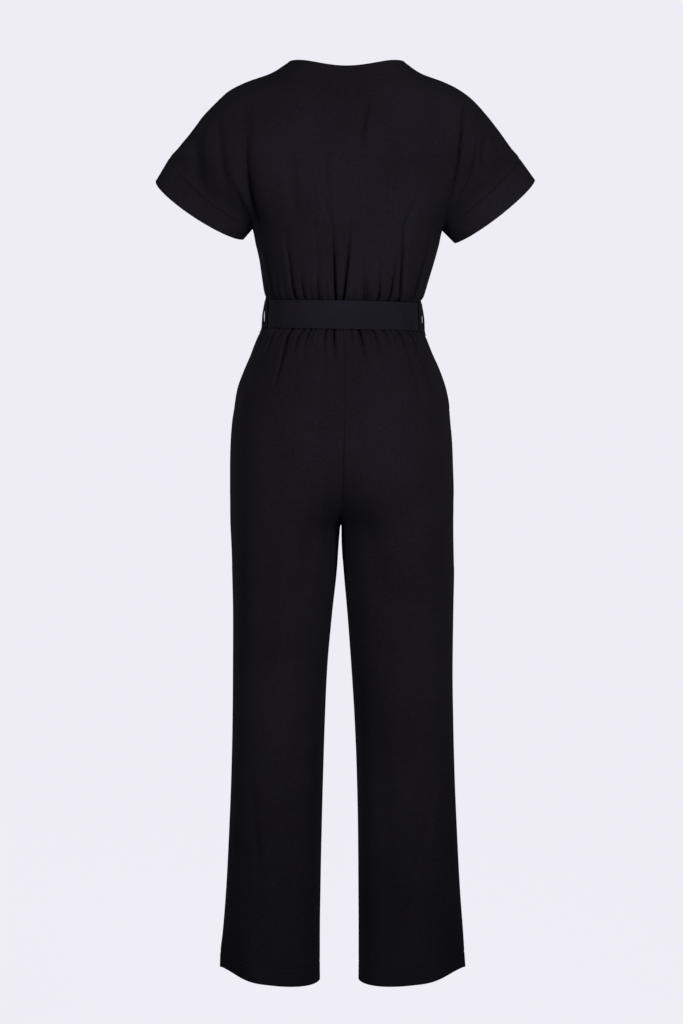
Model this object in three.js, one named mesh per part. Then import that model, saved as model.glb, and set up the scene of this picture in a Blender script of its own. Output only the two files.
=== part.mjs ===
// A worn, short-sleeved jumpsuit with an elastic waist and a tied cloth belt, filled out with nobody in it.
// Millimetres, +Z up, +X to the wearer's left, and the front faces -Y. The origin lies between the shoulders,
// level with the highest points of the shoulder seams. Every panel is a wall of cloth of even thickness,
// laid through level rings whose widths and depths are in the tables below.
import * as THREE from 'three';

const { clamp, lerp, smoothstep } = THREE.MathUtils;

// Cloth
const CLOTH = 1.6; // one layer of crepe
const DOUBLE_CLOTH = 2.2; // the belt, folded and pressed
const SEAM = 0.3; // gap between two pieces along a seam
const LAP = 3.4; // how far an under layer lies inside the layer over it

// Heights of the main seams
const CUFF_TOP = -146; // where the shoulder seam ends and the cuff begins
const ARMPIT = -252;
const CASING_TOP = -364;
const CASING_LOW = -402;
const CROTCH = -712;
const HEM = -1432;

// Bodice: level rings from the neck to the waist. left and right are where a ring meets the shoulder seam,
// then the cuff seam, then the side seam; back and front are its depths at the middle.
const BODICE_RINGS = [
  { z: 0, left: 83, right: 96.5, back: 62, front: 20 },
  { z: -6.5, left: 93, right: 105.5, back: 66, front: 28 },
  { z: -12.5, left: 102, right: 114, back: 69, front: 34 },
  { z: -18.5, left: 114, right: 125, back: 71, front: 40 },
  { z: -30.5, left: 150, right: 159, back: 75, front: 50 },
  { z: -43, left: 175.5, right: 184.5, back: 79, front: 58 },
  { z: -55, left: 189.5, right: 200.5, back: 83, front: 65 },
  { z: -79, left: 213.5, right: 223, back: 90, front: 78 },
  { z: -104, left: 233, right: 243, back: 96, front: 91 },
  { z: -128, left: 252.5, right: 260.5, back: 100, front: 102 },
  { z: CUFF_TOP, left: 266.5, right: 274, back: 102, front: 110 },
  { z: ARMPIT, left: 139.5, right: 155.5, back: 103, front: 121 },
  { z: -275, left: 134.5, right: 150, back: 102, front: 118 },
  { z: -302, left: 128.5, right: 142.5, back: 100, front: 111 },
  { z: -330, left: 124.5, right: 134, back: 97, front: 103 },
  { z: -347, left: 122, right: 129, back: 95, front: 97 },
  { z: -355.5, left: 120, right: 126, back: 93.5, front: 92.5 },
  { z: -359.5, left: 118.2, right: 122.7, back: 92, front: 90.6 },
  { z: -362, left: 116, right: 119.6, back: 90.5, front: 88.5 },
  { z: CASING_TOP, left: 115.5, right: 119, back: 90, front: 88 },
];

// Trousers above the crotch. split grows from 0, where the two halves share one ring, to 1, where each leg has
// its own; seam is how far the centre seam has wandered to the wearer's left.
const HIP_RINGS = [
  { z: CASING_LOW, left: 115.5, right: 119, back: 90, front: 88, split: 0, seam: -1.75 },
  { z: -406.3, left: 116, right: 119.5, back: 90.5, front: 88.5, split: 0, seam: -1.75 },
  { z: -409.5, left: 122, right: 125, back: 95, front: 91.5, split: 0, seam: -2 },
  { z: -415, left: 128.5, right: 129.5, back: 99, front: 94, split: 0, seam: -2 },
  { z: -423, left: 132.5, right: 133, back: 102, front: 95.5, split: 0, seam: -2.5 },
  { z: -438, left: 138.7, right: 139, back: 107, front: 97.5, split: 0, seam: -3 },
  { z: -454, left: 144.7, right: 146, back: 112, front: 100, split: 0, seam: -4 },
  { z: -477, left: 153.8, right: 154.5, back: 118, front: 102.5, split: 0, seam: -4 },
  { z: -501, left: 162.5, right: 162, back: 123, front: 104, split: 0, seam: -4 },
  { z: -524, left: 167.4, right: 166.8, back: 127, front: 105, split: 0, seam: -4 },
  { z: -550, left: 172, right: 169.2, back: 129.5, front: 105.5, split: 0.03, seam: -3.5 },
  { z: -585, left: 174.8, right: 172.4, back: 130, front: 105, split: 0.15, seam: -2.5 },
  { z: -620, left: 175.8, right: 173.8, back: 127, front: 104, split: 0.34, seam: -1.5 },
  { z: -655, left: 176, right: 175, back: 121.5, front: 102, split: 0.57, seam: -0.5 },
  { z: -684, left: 176.2, right: 175.2, back: 115, front: 99.5, split: 0.78, seam: 0.8 },
  { z: -702, left: 176.2, right: 175, back: 111, front: 98, split: 0.92, seam: 1.6 },
  { z: -710, left: 176.2, right: 175, back: 109, front: 97.5, split: 0.98, seam: 2 },
];

// Trouser legs below the crotch, each ring given by where it meets the side seam and the inside leg seam.
const LEG_RINGS = [
  { z: -714, left: 176, right: 175, leftInner: 3, rightInner: -1.5, back: 108, front: 97 },
  { z: -738, left: 174.8, right: 175.4, leftInner: 5, rightInner: -1.2, back: 103, front: 95 },
  { z: -784, left: 173.4, right: 176.3, leftInner: 8.2, rightInner: 2, back: 96, front: 90.5 },
  { z: -850, left: 172.3, right: 175.4, leftInner: 15.4, rightInner: 7.8, back: 88, front: 85 },
  { z: -940, left: 173, right: 174.8, leftInner: 23.4, rightInner: 14.4, back: 80, front: 78 },
  { z: -1023, left: 174, right: 176.2, leftInner: 27.2, rightInner: 19.5, back: 76, front: 74 },
  { z: -1110, left: 176.3, right: 178.8, leftInner: 30, rightInner: 23, back: 73, front: 71 },
  { z: -1200, left: 180.3, right: 183, leftInner: 32.4, rightInner: 24.9, back: 70, front: 69 },
  { z: -1290, left: 185.3, right: 187.9, leftInner: 34.3, rightInner: 25.6, back: 68, front: 68 },
  { z: -1370, left: 191.7, right: 193.9, leftInner: 35.5, rightInner: 26, back: 67, front: 68 },
  { z: -1410, left: 195.8, right: 196.4, leftInner: 35.6, rightInner: 26, back: 67, front: 68 },
  { z: HEM, left: 196.6, right: 198, leftInner: 35.4, rightInner: 25.8, back: 67, front: 68 },
];
const HEM_SLANT = 8; // the hem is this much higher at the side seam, and lower at the inside seam
const HEM_SLANT_FROM = -1330;

// Gathers, as troughs that start at the waist seam. at is the share of the way round from the middle to the
// side seam, positive to the wearer's left; lean is how far that share moves by the trough's far end.
const BODICE_BACK_FOLDS = [
  { at: -0.7, lean: -0.06, length: 120, depth: 4, width: 15 },
  { at: -0.54, lean: 0.03, length: 190, depth: 4.5, width: 13 },
  { at: -0.41, lean: -0.02, length: 75, depth: 3.8, width: 13 },
  { at: -0.3, lean: 0, length: 95, depth: 3.8, width: 13 },
  { at: -0.18, lean: 0.02, length: 185, depth: 5, width: 14 },
  { at: -0.035, lean: -0.02, length: 140, depth: 7, width: 15 },
  { at: 0.075, lean: 0.11, length: 150, depth: 7, width: 15 },
  { at: 0.21, lean: 0.11, length: 170, depth: 4.5, width: 13 },
  { at: 0.42, lean: 0.09, length: 125, depth: 6.5, width: 16 },
  { at: 0.68, lean: 0.1, length: 175, depth: 5.5, width: 17 },
];
const BODICE_FRONT_FOLDS = [
  { at: -0.72, lean: -0.06, length: 110, depth: 4.5, width: 15 },
  { at: -0.57, lean: -0.05, length: 90, depth: 4, width: 14 },
  { at: -0.43, lean: -0.06, length: 130, depth: 5, width: 15 },
  { at: -0.28, lean: -0.05, length: 80, depth: 3.6, width: 13 },
  { at: -0.13, lean: -0.03, length: 105, depth: 4.2, width: 14 },
  { at: 0.06, lean: 0.02, length: 90, depth: 4, width: 14 },
  { at: 0.22, lean: 0.05, length: 115, depth: 4.4, width: 14 },
  { at: 0.38, lean: 0.05, length: 85, depth: 3.8, width: 13 },
  { at: 0.54, lean: 0.06, length: 125, depth: 5, width: 15 },
  { at: 0.72, lean: 0.06, length: 100, depth: 4.2, width: 15 },
];
const TROUSER_BACK_FOLDS = [
  { at: -0.86, lean: 0, length: 70, depth: 3.2, width: 11 },
  { at: -0.71, lean: -0.03, length: 120, depth: 4.2, width: 13 },
  { at: -0.55, lean: -0.02, length: 85, depth: 4.8, width: 14 },
  { at: -0.4, lean: 0, length: 36, depth: 3.4, width: 12 },
  { at: -0.28, lean: -0.04, length: 90, depth: 5.4, width: 15 },
  { at: -0.155, lean: -0.03, length: 48, depth: 5.4, width: 14 },
  { at: -0.065, lean: 0, length: 32, depth: 2.8, width: 10 },
  { at: 0.055, lean: -0.01, length: 36, depth: 4.6, width: 13 },
  { at: 0.14, lean: 0, length: 150, depth: 3.4, width: 10 },
  { at: 0.26, lean: 0.03, length: 50, depth: 3.8, width: 13 },
  { at: 0.355, lean: 0.04, length: 46, depth: 4.4, width: 13 },
  { at: 0.46, lean: 0.01, length: 62, depth: 6, width: 14 },
  { at: 0.63, lean: 0.02, length: 66, depth: 4, width: 12 },
  { at: 0.76, lean: 0.01, length: 60, depth: 3.6, width: 12 },
  { at: 0.88, lean: 0, length: 55, depth: 3, width: 11 },
];
const TROUSER_FRONT_FOLDS = [
  { at: -0.66, lean: -0.02, length: 70, depth: 3.8, width: 13 },
  { at: -0.52, lean: -0.02, length: 95, depth: 4.8, width: 14 },
  { at: -0.38, lean: -0.02, length: 60, depth: 4.2, width: 13 },
  { at: -0.25, lean: -0.02, length: 85, depth: 5, width: 14 },
  { at: -0.12, lean: -0.01, length: 50, depth: 4.2, width: 13 },
  { at: 0.1, lean: 0.01, length: 60, depth: 4.6, width: 13 },
  { at: 0.23, lean: 0.02, length: 90, depth: 4.6, width: 14 },
  { at: 0.36, lean: 0.02, length: 52, depth: 4, width: 13 },
  { at: 0.5, lean: 0.02, length: 80, depth: 5, width: 14 },
  { at: 0.65, lean: 0.02, length: 64, depth: 3.8, width: 13 },
];

// Drapes of the cut-on sleeves, as soft troughs between two places seen from straight behind or in front.
const DRAPES = [
  { fromX: -196, fromZ: -60, toX: -168, toZ: -226, depth: 5, width: 34 },
  { fromX: -214, fromZ: -120, toX: -182, toZ: -212, depth: 4, width: 26 },
  { fromX: 216, fromZ: -96, toX: 214, toZ: -190, depth: 6, width: 40 },
  { fromX: 150, fromZ: -52, toX: 146, toZ: -232, depth: 5, width: 36 },
];

// Cuffs: bands round the sleeve openings. tip is the outer end of the opening and low its underarm end. The
// seam and the opening hang lower at the back and the front than at their ends.
const CUFF_DEPTH = 52; // half the sleeve's front-to-back depth
const CUFFS = {
  left: { tipX: 285.5, tipZ: -178, lowX: 153.5, lowZ: -268, seam: { back: 14, front: 6 }, edge: { back: 17, front: 9 } },
  right: { tipX: 295.5, tipZ: -175, lowX: 174, lowZ: -270, seam: { back: 3, front: 4 }, edge: { back: 12, front: 9 } },
};
const CUFF_GAP = 0.5; // along the sleeve, between the bodice and its cuff
const CUFF_SEGMENTS = 28;
const SLEEVE_BLEND = 4; // how sharply the sleeve's tube meets the body: higher is sharper
const SMOOTHING_STEPS = [-20, -10, 0, 10, 20]; // the body's depth is evened over these heights

// Crossed V-neck: each front's edge runs from the neck to the far side of the waist.
const NECK_DIP = 13; // the back neckline is this much lower at the middle
const NECK_DIP_ENDS = -60;
const CROSS_REACH = 68; // how far past the middle a front reaches at the waist
const NECK_EDGE_CURVE = 0.9;
const LAP_FLAT = 13; // the under front stays below the upper one this far past its edge
const LAP_RAMP = 22; // and then rises level with it over this width

// Pocket: the front is cut away from the waist seam to the side seam, and a facing shows behind.
const POCKET_WIDTH = 30; // at the waist seam, forward from the side seam
const POCKET_LOW = -535;
const POCKET_GAPE = 3; // how far the mouth stands off at its middle
const FACING_UNDER_FRONT = 14;
const FACING_UNDER_BACK = 7;
const FACING_LOW = -546;
const FACING_INSET = 2.8; // from the outside of the front and the back
const FACING_TUCK = 3.4; // how much further in it lies at the waist seam

// Belt
const BELT_TOP = -362;
const BELT_LOW = -405.5;
const BELT_CLEAR = 1.1; // over the waist ring
const CASING_THICK = 2.4;
const RING_SEGMENTS = 52;
const KNOT_RINGS = 10;
const KNOT = { halfWidth: 19, halfHeight: 25, depth: 19, clear: 0.4 };
const BELT_ENDS = [
  { name: 'belt_end_left', topX: 9, lowX: 30, length: 262, topWidth: 20, lowWidth: 42, clear: 7 },
  { name: 'belt_end_right', topX: -9, lowX: -24, length: 236, topWidth: 20, lowWidth: 42, clear: 1.8 },
];
const BELT_END_BOW = 2.5; // how far an end's middle stands out from its edges

// A belt loop, by how far its outer face stands off the waist ring.
const LOOP_WIDTH = 7;
const LOOP_THICK = 1.2;
const LOOP_LINE = [
  { z: -360.9, left: 4.9, right: 5 },
  { z: -366, left: 5.6, right: 5.9 },
  { z: -374, left: 7.4, right: 7.4 },
  { z: -384, left: 8.6, right: 8.5 },
  { z: -394, left: 9.1, right: 8.8 },
  { z: -403, left: 9.3, right: 8.8 },
  { z: -408.5, left: 10.3, right: 9.6 },
  { z: -413, left: 13.2, right: 11.2 },
];

// The belt line dips a little to the wearer's right.
const WAIST_TILT = 0.019;
const WAIST_TILT_REACH = { up: 170, down: 120 };

const BLACK_CREPE = { color: 0x17161a, roughness: 0.86, metalness: 0 };
const BELT_CREPE = { color: 0x1a191d, roughness: 0.82, metalness: 0 };

// Monotone cubic through one column of a table whose rows go down in z.
function column(table, key, z) {
  if (z >= table[0].z) return table[0][key];
  const last = table.length - 1;
  if (z <= table[last].z) return table[last][key];
  let i = 0;
  while (z < table[i + 1].z) i += 1;
  const rise = (a) => (table[a + 1][key] - table[a][key]) / (table[a + 1].z - table[a].z);
  const slope = (a) => {
    if (a === 0) return rise(0);
    if (a === last) return rise(last - 1);
    const before = rise(a - 1);
    const after = rise(a);
    return before * after <= 0 ? 0 : (2 * before * after) / (before + after);
  };
  const span = table[i + 1].z - table[i].z;
  const t = (z - table[i].z) / span;
  const [a, b] = [table[i][key], table[i + 1][key]];
  return (
    a * (1 + 2 * t) * (1 - t) ** 2 + slope(i) * span * t * (1 - t) ** 2 +
    b * t * t * (3 - 2 * t) + slope(i + 1) * span * t * t * (t - 1)
  );
}

function rowAt(table, z) {
  const row = { z };
  for (const key of Object.keys(table[0])) if (key !== 'z') row[key] = column(table, key, z);
  return row;
}

// The cuff seam lies along a straight line from the armpit to the end of the shoulder seam, and bulges to the
// back and the front of it. along runs up that line and down runs square to it, towards the opening.
function sleeve(side) {
  const top = BODICE_RINGS.find((row) => row.z === CUFF_TOP)[side];
  const low = BODICE_RINGS.find((row) => row.z === ARMPIT)[side];
  const length = Math.hypot(top - low, CUFF_TOP - ARMPIT);
  const along = { x: (top - low) / length, z: (CUFF_TOP - ARMPIT) / length };
  return { top, low, length, along, down: { x: along.z, z: -along.x } };
}

const oval = (share) => (share > 0 && share < 1 ? 2 * Math.sqrt(share * (1 - share)) : 0);

// A bodice ring. Between the armpit and the shoulder seam its ends run along the cuff seam.
function bodiceRing(z) {
  const ring = rowAt(BODICE_RINGS, z);
  const share = (z - ARMPIT) / (CUFF_TOP - ARMPIT);
  ring.end = oval(share);
  ring.body = { left: ring.left, right: ring.right };
  if (ring.end > 0) {
    for (const side of ['left', 'right']) {
      const { top, low } = sleeve(side);
      ring[side] = lerp(low, top, share);
      ring.body[side] = Math.min(ring.body[side], ring[side]);
    }
  }
  return ring;
}

// How deep the body of a bodice ring is at x.
function bodyDepth(ring, x, face) {
  const middle = (ring.body.left - ring.body.right) / 2;
  const half = (ring.body.left + ring.body.right) / 2;
  return ring[face] * Math.sqrt(Math.max(0, 1 - ((x - middle) / half) ** 2));
}

// How far the troughs of a table push the cloth in. around is the share from the middle to the side, drop the
// distance from the waist seam, and reach the millimetres of cloth in a share of 1.
function gatherDepth(folds, around, drop, reach) {
  let depth = 0;
  for (const fold of folds) {
    const run = drop / fold.length;
    const off = (Math.abs(around - fold.at - fold.lean * run) * reach) / (fold.width / 2);
    if (run < 1 && off < 1) {
      depth += fold.depth * (0.5 + 0.5 * Math.cos(Math.PI * off)) * (1 - run) * (0.6 + 0.4 * smoothstep(drop, 0, 9));
    }
  }
  return depth;
}

function drapeDepth(x, z) {
  let depth = 0;
  for (const drape of DRAPES) {
    const along = (z - drape.fromZ) / (drape.toZ - drape.fromZ);
    const off = Math.abs(x - lerp(drape.fromX, drape.toX, along)) / (drape.width / 2);
    if (along > 0 && along < 1 && off < 1) {
      depth += drape.depth * (0.5 + 0.5 * Math.cos(Math.PI * off)) * Math.sin(Math.PI * along);
    }
  }
  return depth;
}

// Moves a finished point to where the belt line dips.
function lean(x, y, z) {
  const reach = z > BELT_LOW ? WAIST_TILT_REACH.up : WAIST_TILT_REACH.down;
  return new THREE.Vector3(x, y, z + WAIST_TILT * x * Math.exp(-(((z - BELT_LOW) / reach) ** 2)));
}

// The direction across the cuff seam, on one side and face.
function acrossCuff(side, face) {
  const { down } = sleeve(side);
  const outward = side === 'left' ? 1 : -1;
  const rise = (CUFFS[side].seam[face] / CUFF_DEPTH) * (face === 'back' ? -1 : 1);
  return new THREE.Vector3(outward * down.x, rise, down.z).normalize();
}

// A point of the bodice's back or front. around is -1 at the right side seam, 0 at the middle, 1 at the left.
function bodicePoint(z, around, face, inset = 0) {
  const ring = bodiceRing(z);
  const half = (ring.left + ring.right) / 2;
  const angle = (clamp(around, -1, 1) * Math.PI) / 2;
  const x = (ring.left - ring.right) / 2 + half * Math.sin(angle);
  const side = x > 0 ? 'left' : 'right';
  const outward = x > 0 ? 1 : -1;
  const exact = bodyDepth(ring, x, face);
  const nearby = SMOOTHING_STEPS.map((step) => bodyDepth(bodiceRing(z + step), x, face));
  const even = nearby.reduce((sum, depth) => sum + depth, 0) / nearby.length;
  const body = lerp(exact, even, (1 - Math.abs(around) ** 6) * smoothstep(z, -300, ARMPIT));
  const { low, length, along, down } = sleeve(side);
  const up = ((outward * x - low) * along.x + (z - ARMPIT) * along.z) / length;
  const tube = Math.min(CUFF_DEPTH * oval(up), z > CUFF_TOP ? body : CUFF_DEPTH) * (z > ARMPIT ? 1 : 0);
  const y = (body ** SLEEVE_BLEND + tube ** SLEEVE_BLEND) ** (1 / SLEEVE_BLEND);
  const normal = new THREE.Vector2(Math.sin(angle) * ring[face], Math.cos(angle) * half).normalize();
  const folds = face === 'back' ? BODICE_BACK_FOLDS : BODICE_FRONT_FOLDS;
  const free = clamp((1 - Math.abs(around)) / 0.08, 0, 1);
  const sunk = free * (gatherDepth(folds, around, z - CASING_TOP, half * 1.45) + drapeDepth(x, z)) + inset;
  const dip = face === 'back' ? NECK_DIP * smoothstep(z, NECK_DIP_ENDS, 0) * Math.cos(angle) ** 4 : 0;
  const bulge = CUFFS[side].seam[face] * ring.end * smoothstep(Math.abs(around), 0.3, 1);
  return lean(
    x - normal.x * sunk + outward * down.x * bulge,
    (face === 'back' ? 1 : -1) * Math.max(y - normal.y * sunk, SEAM / 2),
    z - dip + down.z * bulge,
  );
}

// A point of one trouser leg. around is 0 at the centre or inside leg seam and 1 at the side seam.
function trouserPoint(z, around, side, face, inset = 0) {
  const outward = side === 'left' ? 1 : -1;
  const leg = z < CROTCH;
  const ring = rowAt(leg ? LEG_RINGS : HIP_RINGS, z);
  const seam = leg ? 0 : ring.seam;
  const outer = ring[side] - outward * seam;
  const half = leg ? (outer - ring[`${side}Inner`]) / 2 : outer / (1 + ring.split);
  const middle = outer - half;
  const start = leg ? Math.PI : Math.acos(clamp((SEAM / 2 - middle) / half, -1, 1));
  const angle = start * (1 - around);
  const normal = new THREE.Vector2(Math.cos(angle) * ring[face], Math.sin(angle) * half).normalize();
  const folds = face === 'back' ? TROUSER_BACK_FOLDS : TROUSER_FRONT_FOLDS;
  const free = clamp(Math.min(around, 1 - around) / 0.03, 0, 1);
  const sunk = free * gatherDepth(folds, outward * around, CASING_LOW - z, half * 1.4) + inset;
  const across = middle + half * Math.cos(angle) - normal.x * sunk;
  const y = Math.max(ring[face] * Math.sin(angle) - normal.y * sunk, SEAM / 2);
  const slant = leg ? HEM_SLANT * Math.cos(angle) * (1 - smoothstep(z, HEM, HEM_SLANT_FROM)) : 0;
  return lean(seam + outward * Math.max(across, leg ? -9 : SEAM / 2), face === 'back' ? y : -y, z + slant);
}

// Triangles between two rows of points, walking along both by their share round the ring.
function stitch(above, below, closed) {
  const faces = [];
  const lastA = above.length - (closed ? 0 : 1);
  const lastB = below.length - (closed ? 0 : 1);
  let [a, b] = [0, 0];
  const at = (row, i) => (i < row.length ? row[i].around : row[0].around + (closed ? closed : 0));
  const id = (row, i) => row[i % row.length].id;
  while (a < lastA || b < lastB) {
    const goUp = b >= lastB || (a < lastA && at(above, a + 1) <= at(below, b + 1) + 1e-9);
    if (goUp) faces.push([id(above, a), id(below, b), id(above, ++a)]);
    else faces.push([id(above, a), id(below, b), id(below, ++b)]);
  }
  return faces;
}

// A closed wall of cloth under rows of outer points. seams gives, for each edge, the direction across it: the
// edge is cut square to that direction, so that two pieces that meet there stay apart. A point may have its own.
function clothWall(rows, { thick = CLOTH, closed = 0, flip = false, seams = {} } = {}) {
  const all = rows.flat();
  all.forEach((entry, id) => Object.assign(entry, { id, normal: new THREE.Vector3() }));
  let faces = [];
  for (let i = 0; i + 1 < rows.length; i += 1) faces.push(...stitch(rows[i], rows[i + 1], closed));
  if (flip) faces = faces.map(([a, b, c]) => [a, c, b]);
  for (const [a, b, c] of faces) {
    const [pa, pb, pc] = [all[a].point, all[b].point, all[c].point];
    const area = pb.clone().sub(pa).cross(pc.clone().sub(pa));
    for (const corner of [a, b, c]) all[corner].normal.add(area);
  }
  const square = (entry, directions = []) => {
    for (const direction of [directions].flat()) {
      entry.normal.addScaledVector(direction, -entry.normal.dot(direction));
    }
  };
  rows[0].forEach((entry) => square(entry, entry.seam ?? seams.top));
  rows.at(-1).forEach((entry) => square(entry, seams.low));
  for (const row of closed ? [] : rows) {
    square(row[0], row[0].cut ?? seams.start);
    square(row.at(-1), row.at(-1).cut ?? seams.end);
  }
  const positions = all.flatMap((entry) => entry.point.toArray());
  for (const entry of all) {
    positions.push(...entry.point.clone().addScaledVector(entry.normal.normalize(), -thick).toArray());
  }
  const index = [];
  const open = new Map();
  for (const [a, b, c] of faces) {
    index.push(a, b, c, c + all.length, b + all.length, a + all.length);
    for (const [from, to] of [[a, b], [b, c], [c, a]]) {
      if (open.has(`${to},${from}`)) open.delete(`${to},${from}`);
      else open.set(`${from},${to}`, [from, to]);
    }
  }
  for (const [from, to] of open.values()) {
    index.push(to, from, from + all.length, to, from + all.length, to + all.length);
  }
  const geometry = new THREE.BufferGeometry();
  geometry.setAttribute('position', new THREE.Float32BufferAttribute(positions, 3));
  geometry.setIndex(index);
  return geometry;
}

function named(name, geometry, finish) {
  geometry.computeVertexNormals();
  const mesh = new THREE.Mesh(geometry, new THREE.MeshStandardMaterial(finish));
  mesh.name = name;
  return mesh;
}

// Shares round the ring for one level: each trough's middle and both its edges, and fillers where they are far
// apart. The troughs' columns lean with them.
function foldColumns(folds, from, to, drop, reach, widest) {
  const stops = [{ first: from, now: from }];
  for (const fold of [...folds].sort((a, b) => a.at - b.at)) {
    const edge = fold.width / 2 / reach;
    if (fold.at - edge < from || fold.at + edge > to) continue;
    const shift = fold.lean * Math.min(drop / fold.length, 1);
    for (const offset of [-edge, 0, edge]) {
      const first = fold.at + offset;
      if (first - stops.at(-1).first > 0.012) stops.push({ first, now: first + shift });
    }
  }
  stops.push({ first: to, now: to });
  const shares = [];
  for (let i = 0; i + 1 < stops.length; i += 1) {
    const count = Math.max(1, Math.ceil((stops[i + 1].first - stops[i].first) / widest));
    for (let k = 0; k < count; k += 1) shares.push(lerp(stops[i].now, stops[i + 1].now, k / count));
  }
  return [...shares, to];
}

const evenColumns = (from, to, count) => Array.from({ length: count + 1 }, (_, i) => lerp(from, to, i / count));

const X = new THREE.Vector3(1, 0, 0);
const Y = new THREE.Vector3(0, 1, 0);
const Z = new THREE.Vector3(0, 0, 1);

const GATHERED_LEVELS = [-226, -241, -249, ARMPIT, -275, -302, -328, -344, -354, -359.3, -362, CASING_TOP + SEAM];
const SHOULDER_LEVELS = [0, -6.5, -12.5, -18.5, -30.5, -43, -55, -79, -104, -128, CUFF_TOP, -149, -158, -176, -202];
const WAIST_REACH = 170; // cloth from the middle to the side seam at the waist

function bodiceColumns(z, folds, evenCount) {
  const gathered = z <= GATHERED_LEVELS[0];
  return gathered ? foldColumns(folds, -1, 1, z - CASING_TOP, WAIST_REACH, 0.09) : evenColumns(-1, 1, evenCount);
}

// How the two ends of a bodice row are cut: along the shoulder or side seam, or along the cuff seam.
function bodiceCut(z, side, face) {
  if (z > CUFF_TOP || z < ARMPIT) return Y;
  return z < CUFF_TOP && z > ARMPIT ? acrossCuff(side, face) : [acrossCuff(side, face), Y];
}

function bodiceBack() {
  const rows = [...SHOULDER_LEVELS, ...GATHERED_LEVELS].map((z) => bodiceColumns(z, BODICE_BACK_FOLDS, 30).map(
    (around) => ({ around, cut: bodiceCut(z, around > 0 ? 'left' : 'right', 'back'), point: bodicePoint(z, around, 'back') }),
  ));
  return clothWall(rows, { flip: true, seams: { low: Z } });
}

// Where the edge of a crossed front lies at a level, as the share round the ring.
function neckEdge(z, side) {
  const outward = side === 'left' ? 1 : -1;
  const run = (z / CASING_TOP) ** NECK_EDGE_CURVE;
  const x = outward * lerp(BODICE_RINGS[0][side], -CROSS_REACH, run);
  const ring = bodiceRing(z);
  const sine = clamp((x - (ring.left - ring.right) / 2) / ((ring.left + ring.right) / 2), -1, 1);
  return { x, around: (Math.asin(sine) * 2) / Math.PI };
}

// One crossed front. The wearer's right front lies over the left one.
function bodiceFront(side) {
  const outward = side === 'left' ? 1 : -1;
  const levels = [-1.2, ...SHOULDER_LEVELS.slice(1), ...GATHERED_LEVELS];
  const rows = levels.map((z) => {
    const edge = neckEdge(z, side).around;
    const upper = neckEdge(z, 'right').x;
    const kept = bodiceColumns(z, BODICE_FRONT_FOLDS, 28).filter((share) => outward * (share - edge) > 0.02);
    const shares = side === 'left' ? [edge, ...kept] : [...kept, edge];
    return shares.map((around) => {
      const { x } = bodicePoint(z, around, 'front');
      const inset = side === 'left' ? LAP * (1 - smoothstep(x, upper + LAP_FLAT, upper + LAP_FLAT + LAP_RAMP)) : 0;
      const cut = Math.abs(around) === 1 ? bodiceCut(z, side, 'front') : [];
      return { around, cut, point: bodicePoint(z, around, 'front', inset) };
    });
  });
  return clothWall(rows, { seams: { low: Z } });
}

// A cuff, from the cuff seam out to the opening.
function cuff(side) {
  const outward = side === 'left' ? 1 : -1;
  const cut = CUFFS[side];
  const { top, low, down } = sleeve(side);
  const rows = [0, 0.35, 0.7, 1].map((run) => evenColumns(0, 1, CUFF_SEGMENTS).slice(0, -1).map((around) => {
    const angle = around * 2 * Math.PI;
    const face = Math.sin(angle) > 0 ? 'back' : 'front';
    const share = (1 - Math.cos(angle)) / 2;
    const bulge = CUFF_GAP + lerp(cut.seam[face], cut.edge[face], run) * Math.abs(Math.sin(angle));
    const x = lerp(lerp(low, top, share), lerp(cut.lowX, cut.tipX, share), run) + down.x * bulge;
    const z = lerp(lerp(ARMPIT, CUFF_TOP, share), lerp(cut.lowZ, cut.tipZ, share), run) + down.z * bulge;
    const atEnd = Math.abs(Math.sin(angle)) < 0.01;
    const seam = atEnd ? [acrossCuff(side, face), Y] : acrossCuff(side, face);
    return { around, seam, point: lean(outward * x, (CUFF_DEPTH + 3 * run) * Math.sin(angle), z) };
  }));
  return clothWall(rows, { closed: 1, flip: side === 'left' });
}

const GATHER_LEVELS = [CASING_LOW - SEAM, -406.3, -409.5, -415, -424, -438, -456, -480, -508, -540];
const SEAT_LEVELS = [-580, -622, -658, -684, -702, -710];
const LEG_LEVELS = [-714, -738, -800, -895, -1000, -1110, -1220, -1330, -1405, HEM];

// Where the pocket mouth lies at a level, as the share round the ring.
function pocketEdge(z, side) {
  const ring = rowAt(HIP_RINGS, z);
  const width = (POCKET_WIDTH * (z - POCKET_LOW)) / (CASING_LOW - POCKET_LOW);
  return 1 - width / (ring[side] * 1.4);
}

function trouserPanel(side, face) {
  const outward = side === 'left' ? 1 : -1;
  const table = face === 'back' ? TROUSER_BACK_FOLDS : TROUSER_FRONT_FOLDS;
  const folds = table.filter((fold) => fold.at * outward > 0)
    .map((fold) => ({ ...fold, at: fold.at * outward, lean: fold.lean * outward }));
  const rows = [...GATHER_LEVELS, ...SEAT_LEVELS, ...LEG_LEVELS].map((z) => {
    const pocket = face === 'front' && z > POCKET_LOW;
    const end = pocket ? pocketEdge(z, side) : 1;
    const gathered = z >= GATHER_LEVELS.at(-1);
    const shares = gathered ? foldColumns(folds, 0, 1, CASING_LOW - z, WAIST_REACH, 0.1) : evenColumns(0, 1, 11);
    const kept = pocket ? [...shares.filter((share) => share < end - 0.02), end] : shares;
    const gape = pocket ? POCKET_GAPE * Math.sin((Math.PI * (z - POCKET_LOW)) / (CASING_LOW - POCKET_LOW)) : 0;
    const cut = z > CROTCH ? X : Y;
    return kept.map((around) => {
      const inset = -gape * smoothstep(around, end - 0.12, end);
      return { around, cut: around === 0 ? cut : Y, point: trouserPoint(z, around, side, face, inset) };
    });
  });
  const flip = (side === 'left') === (face === 'back');
  return clothWall(rows, { flip, seams: { top: Z } });
}

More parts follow.
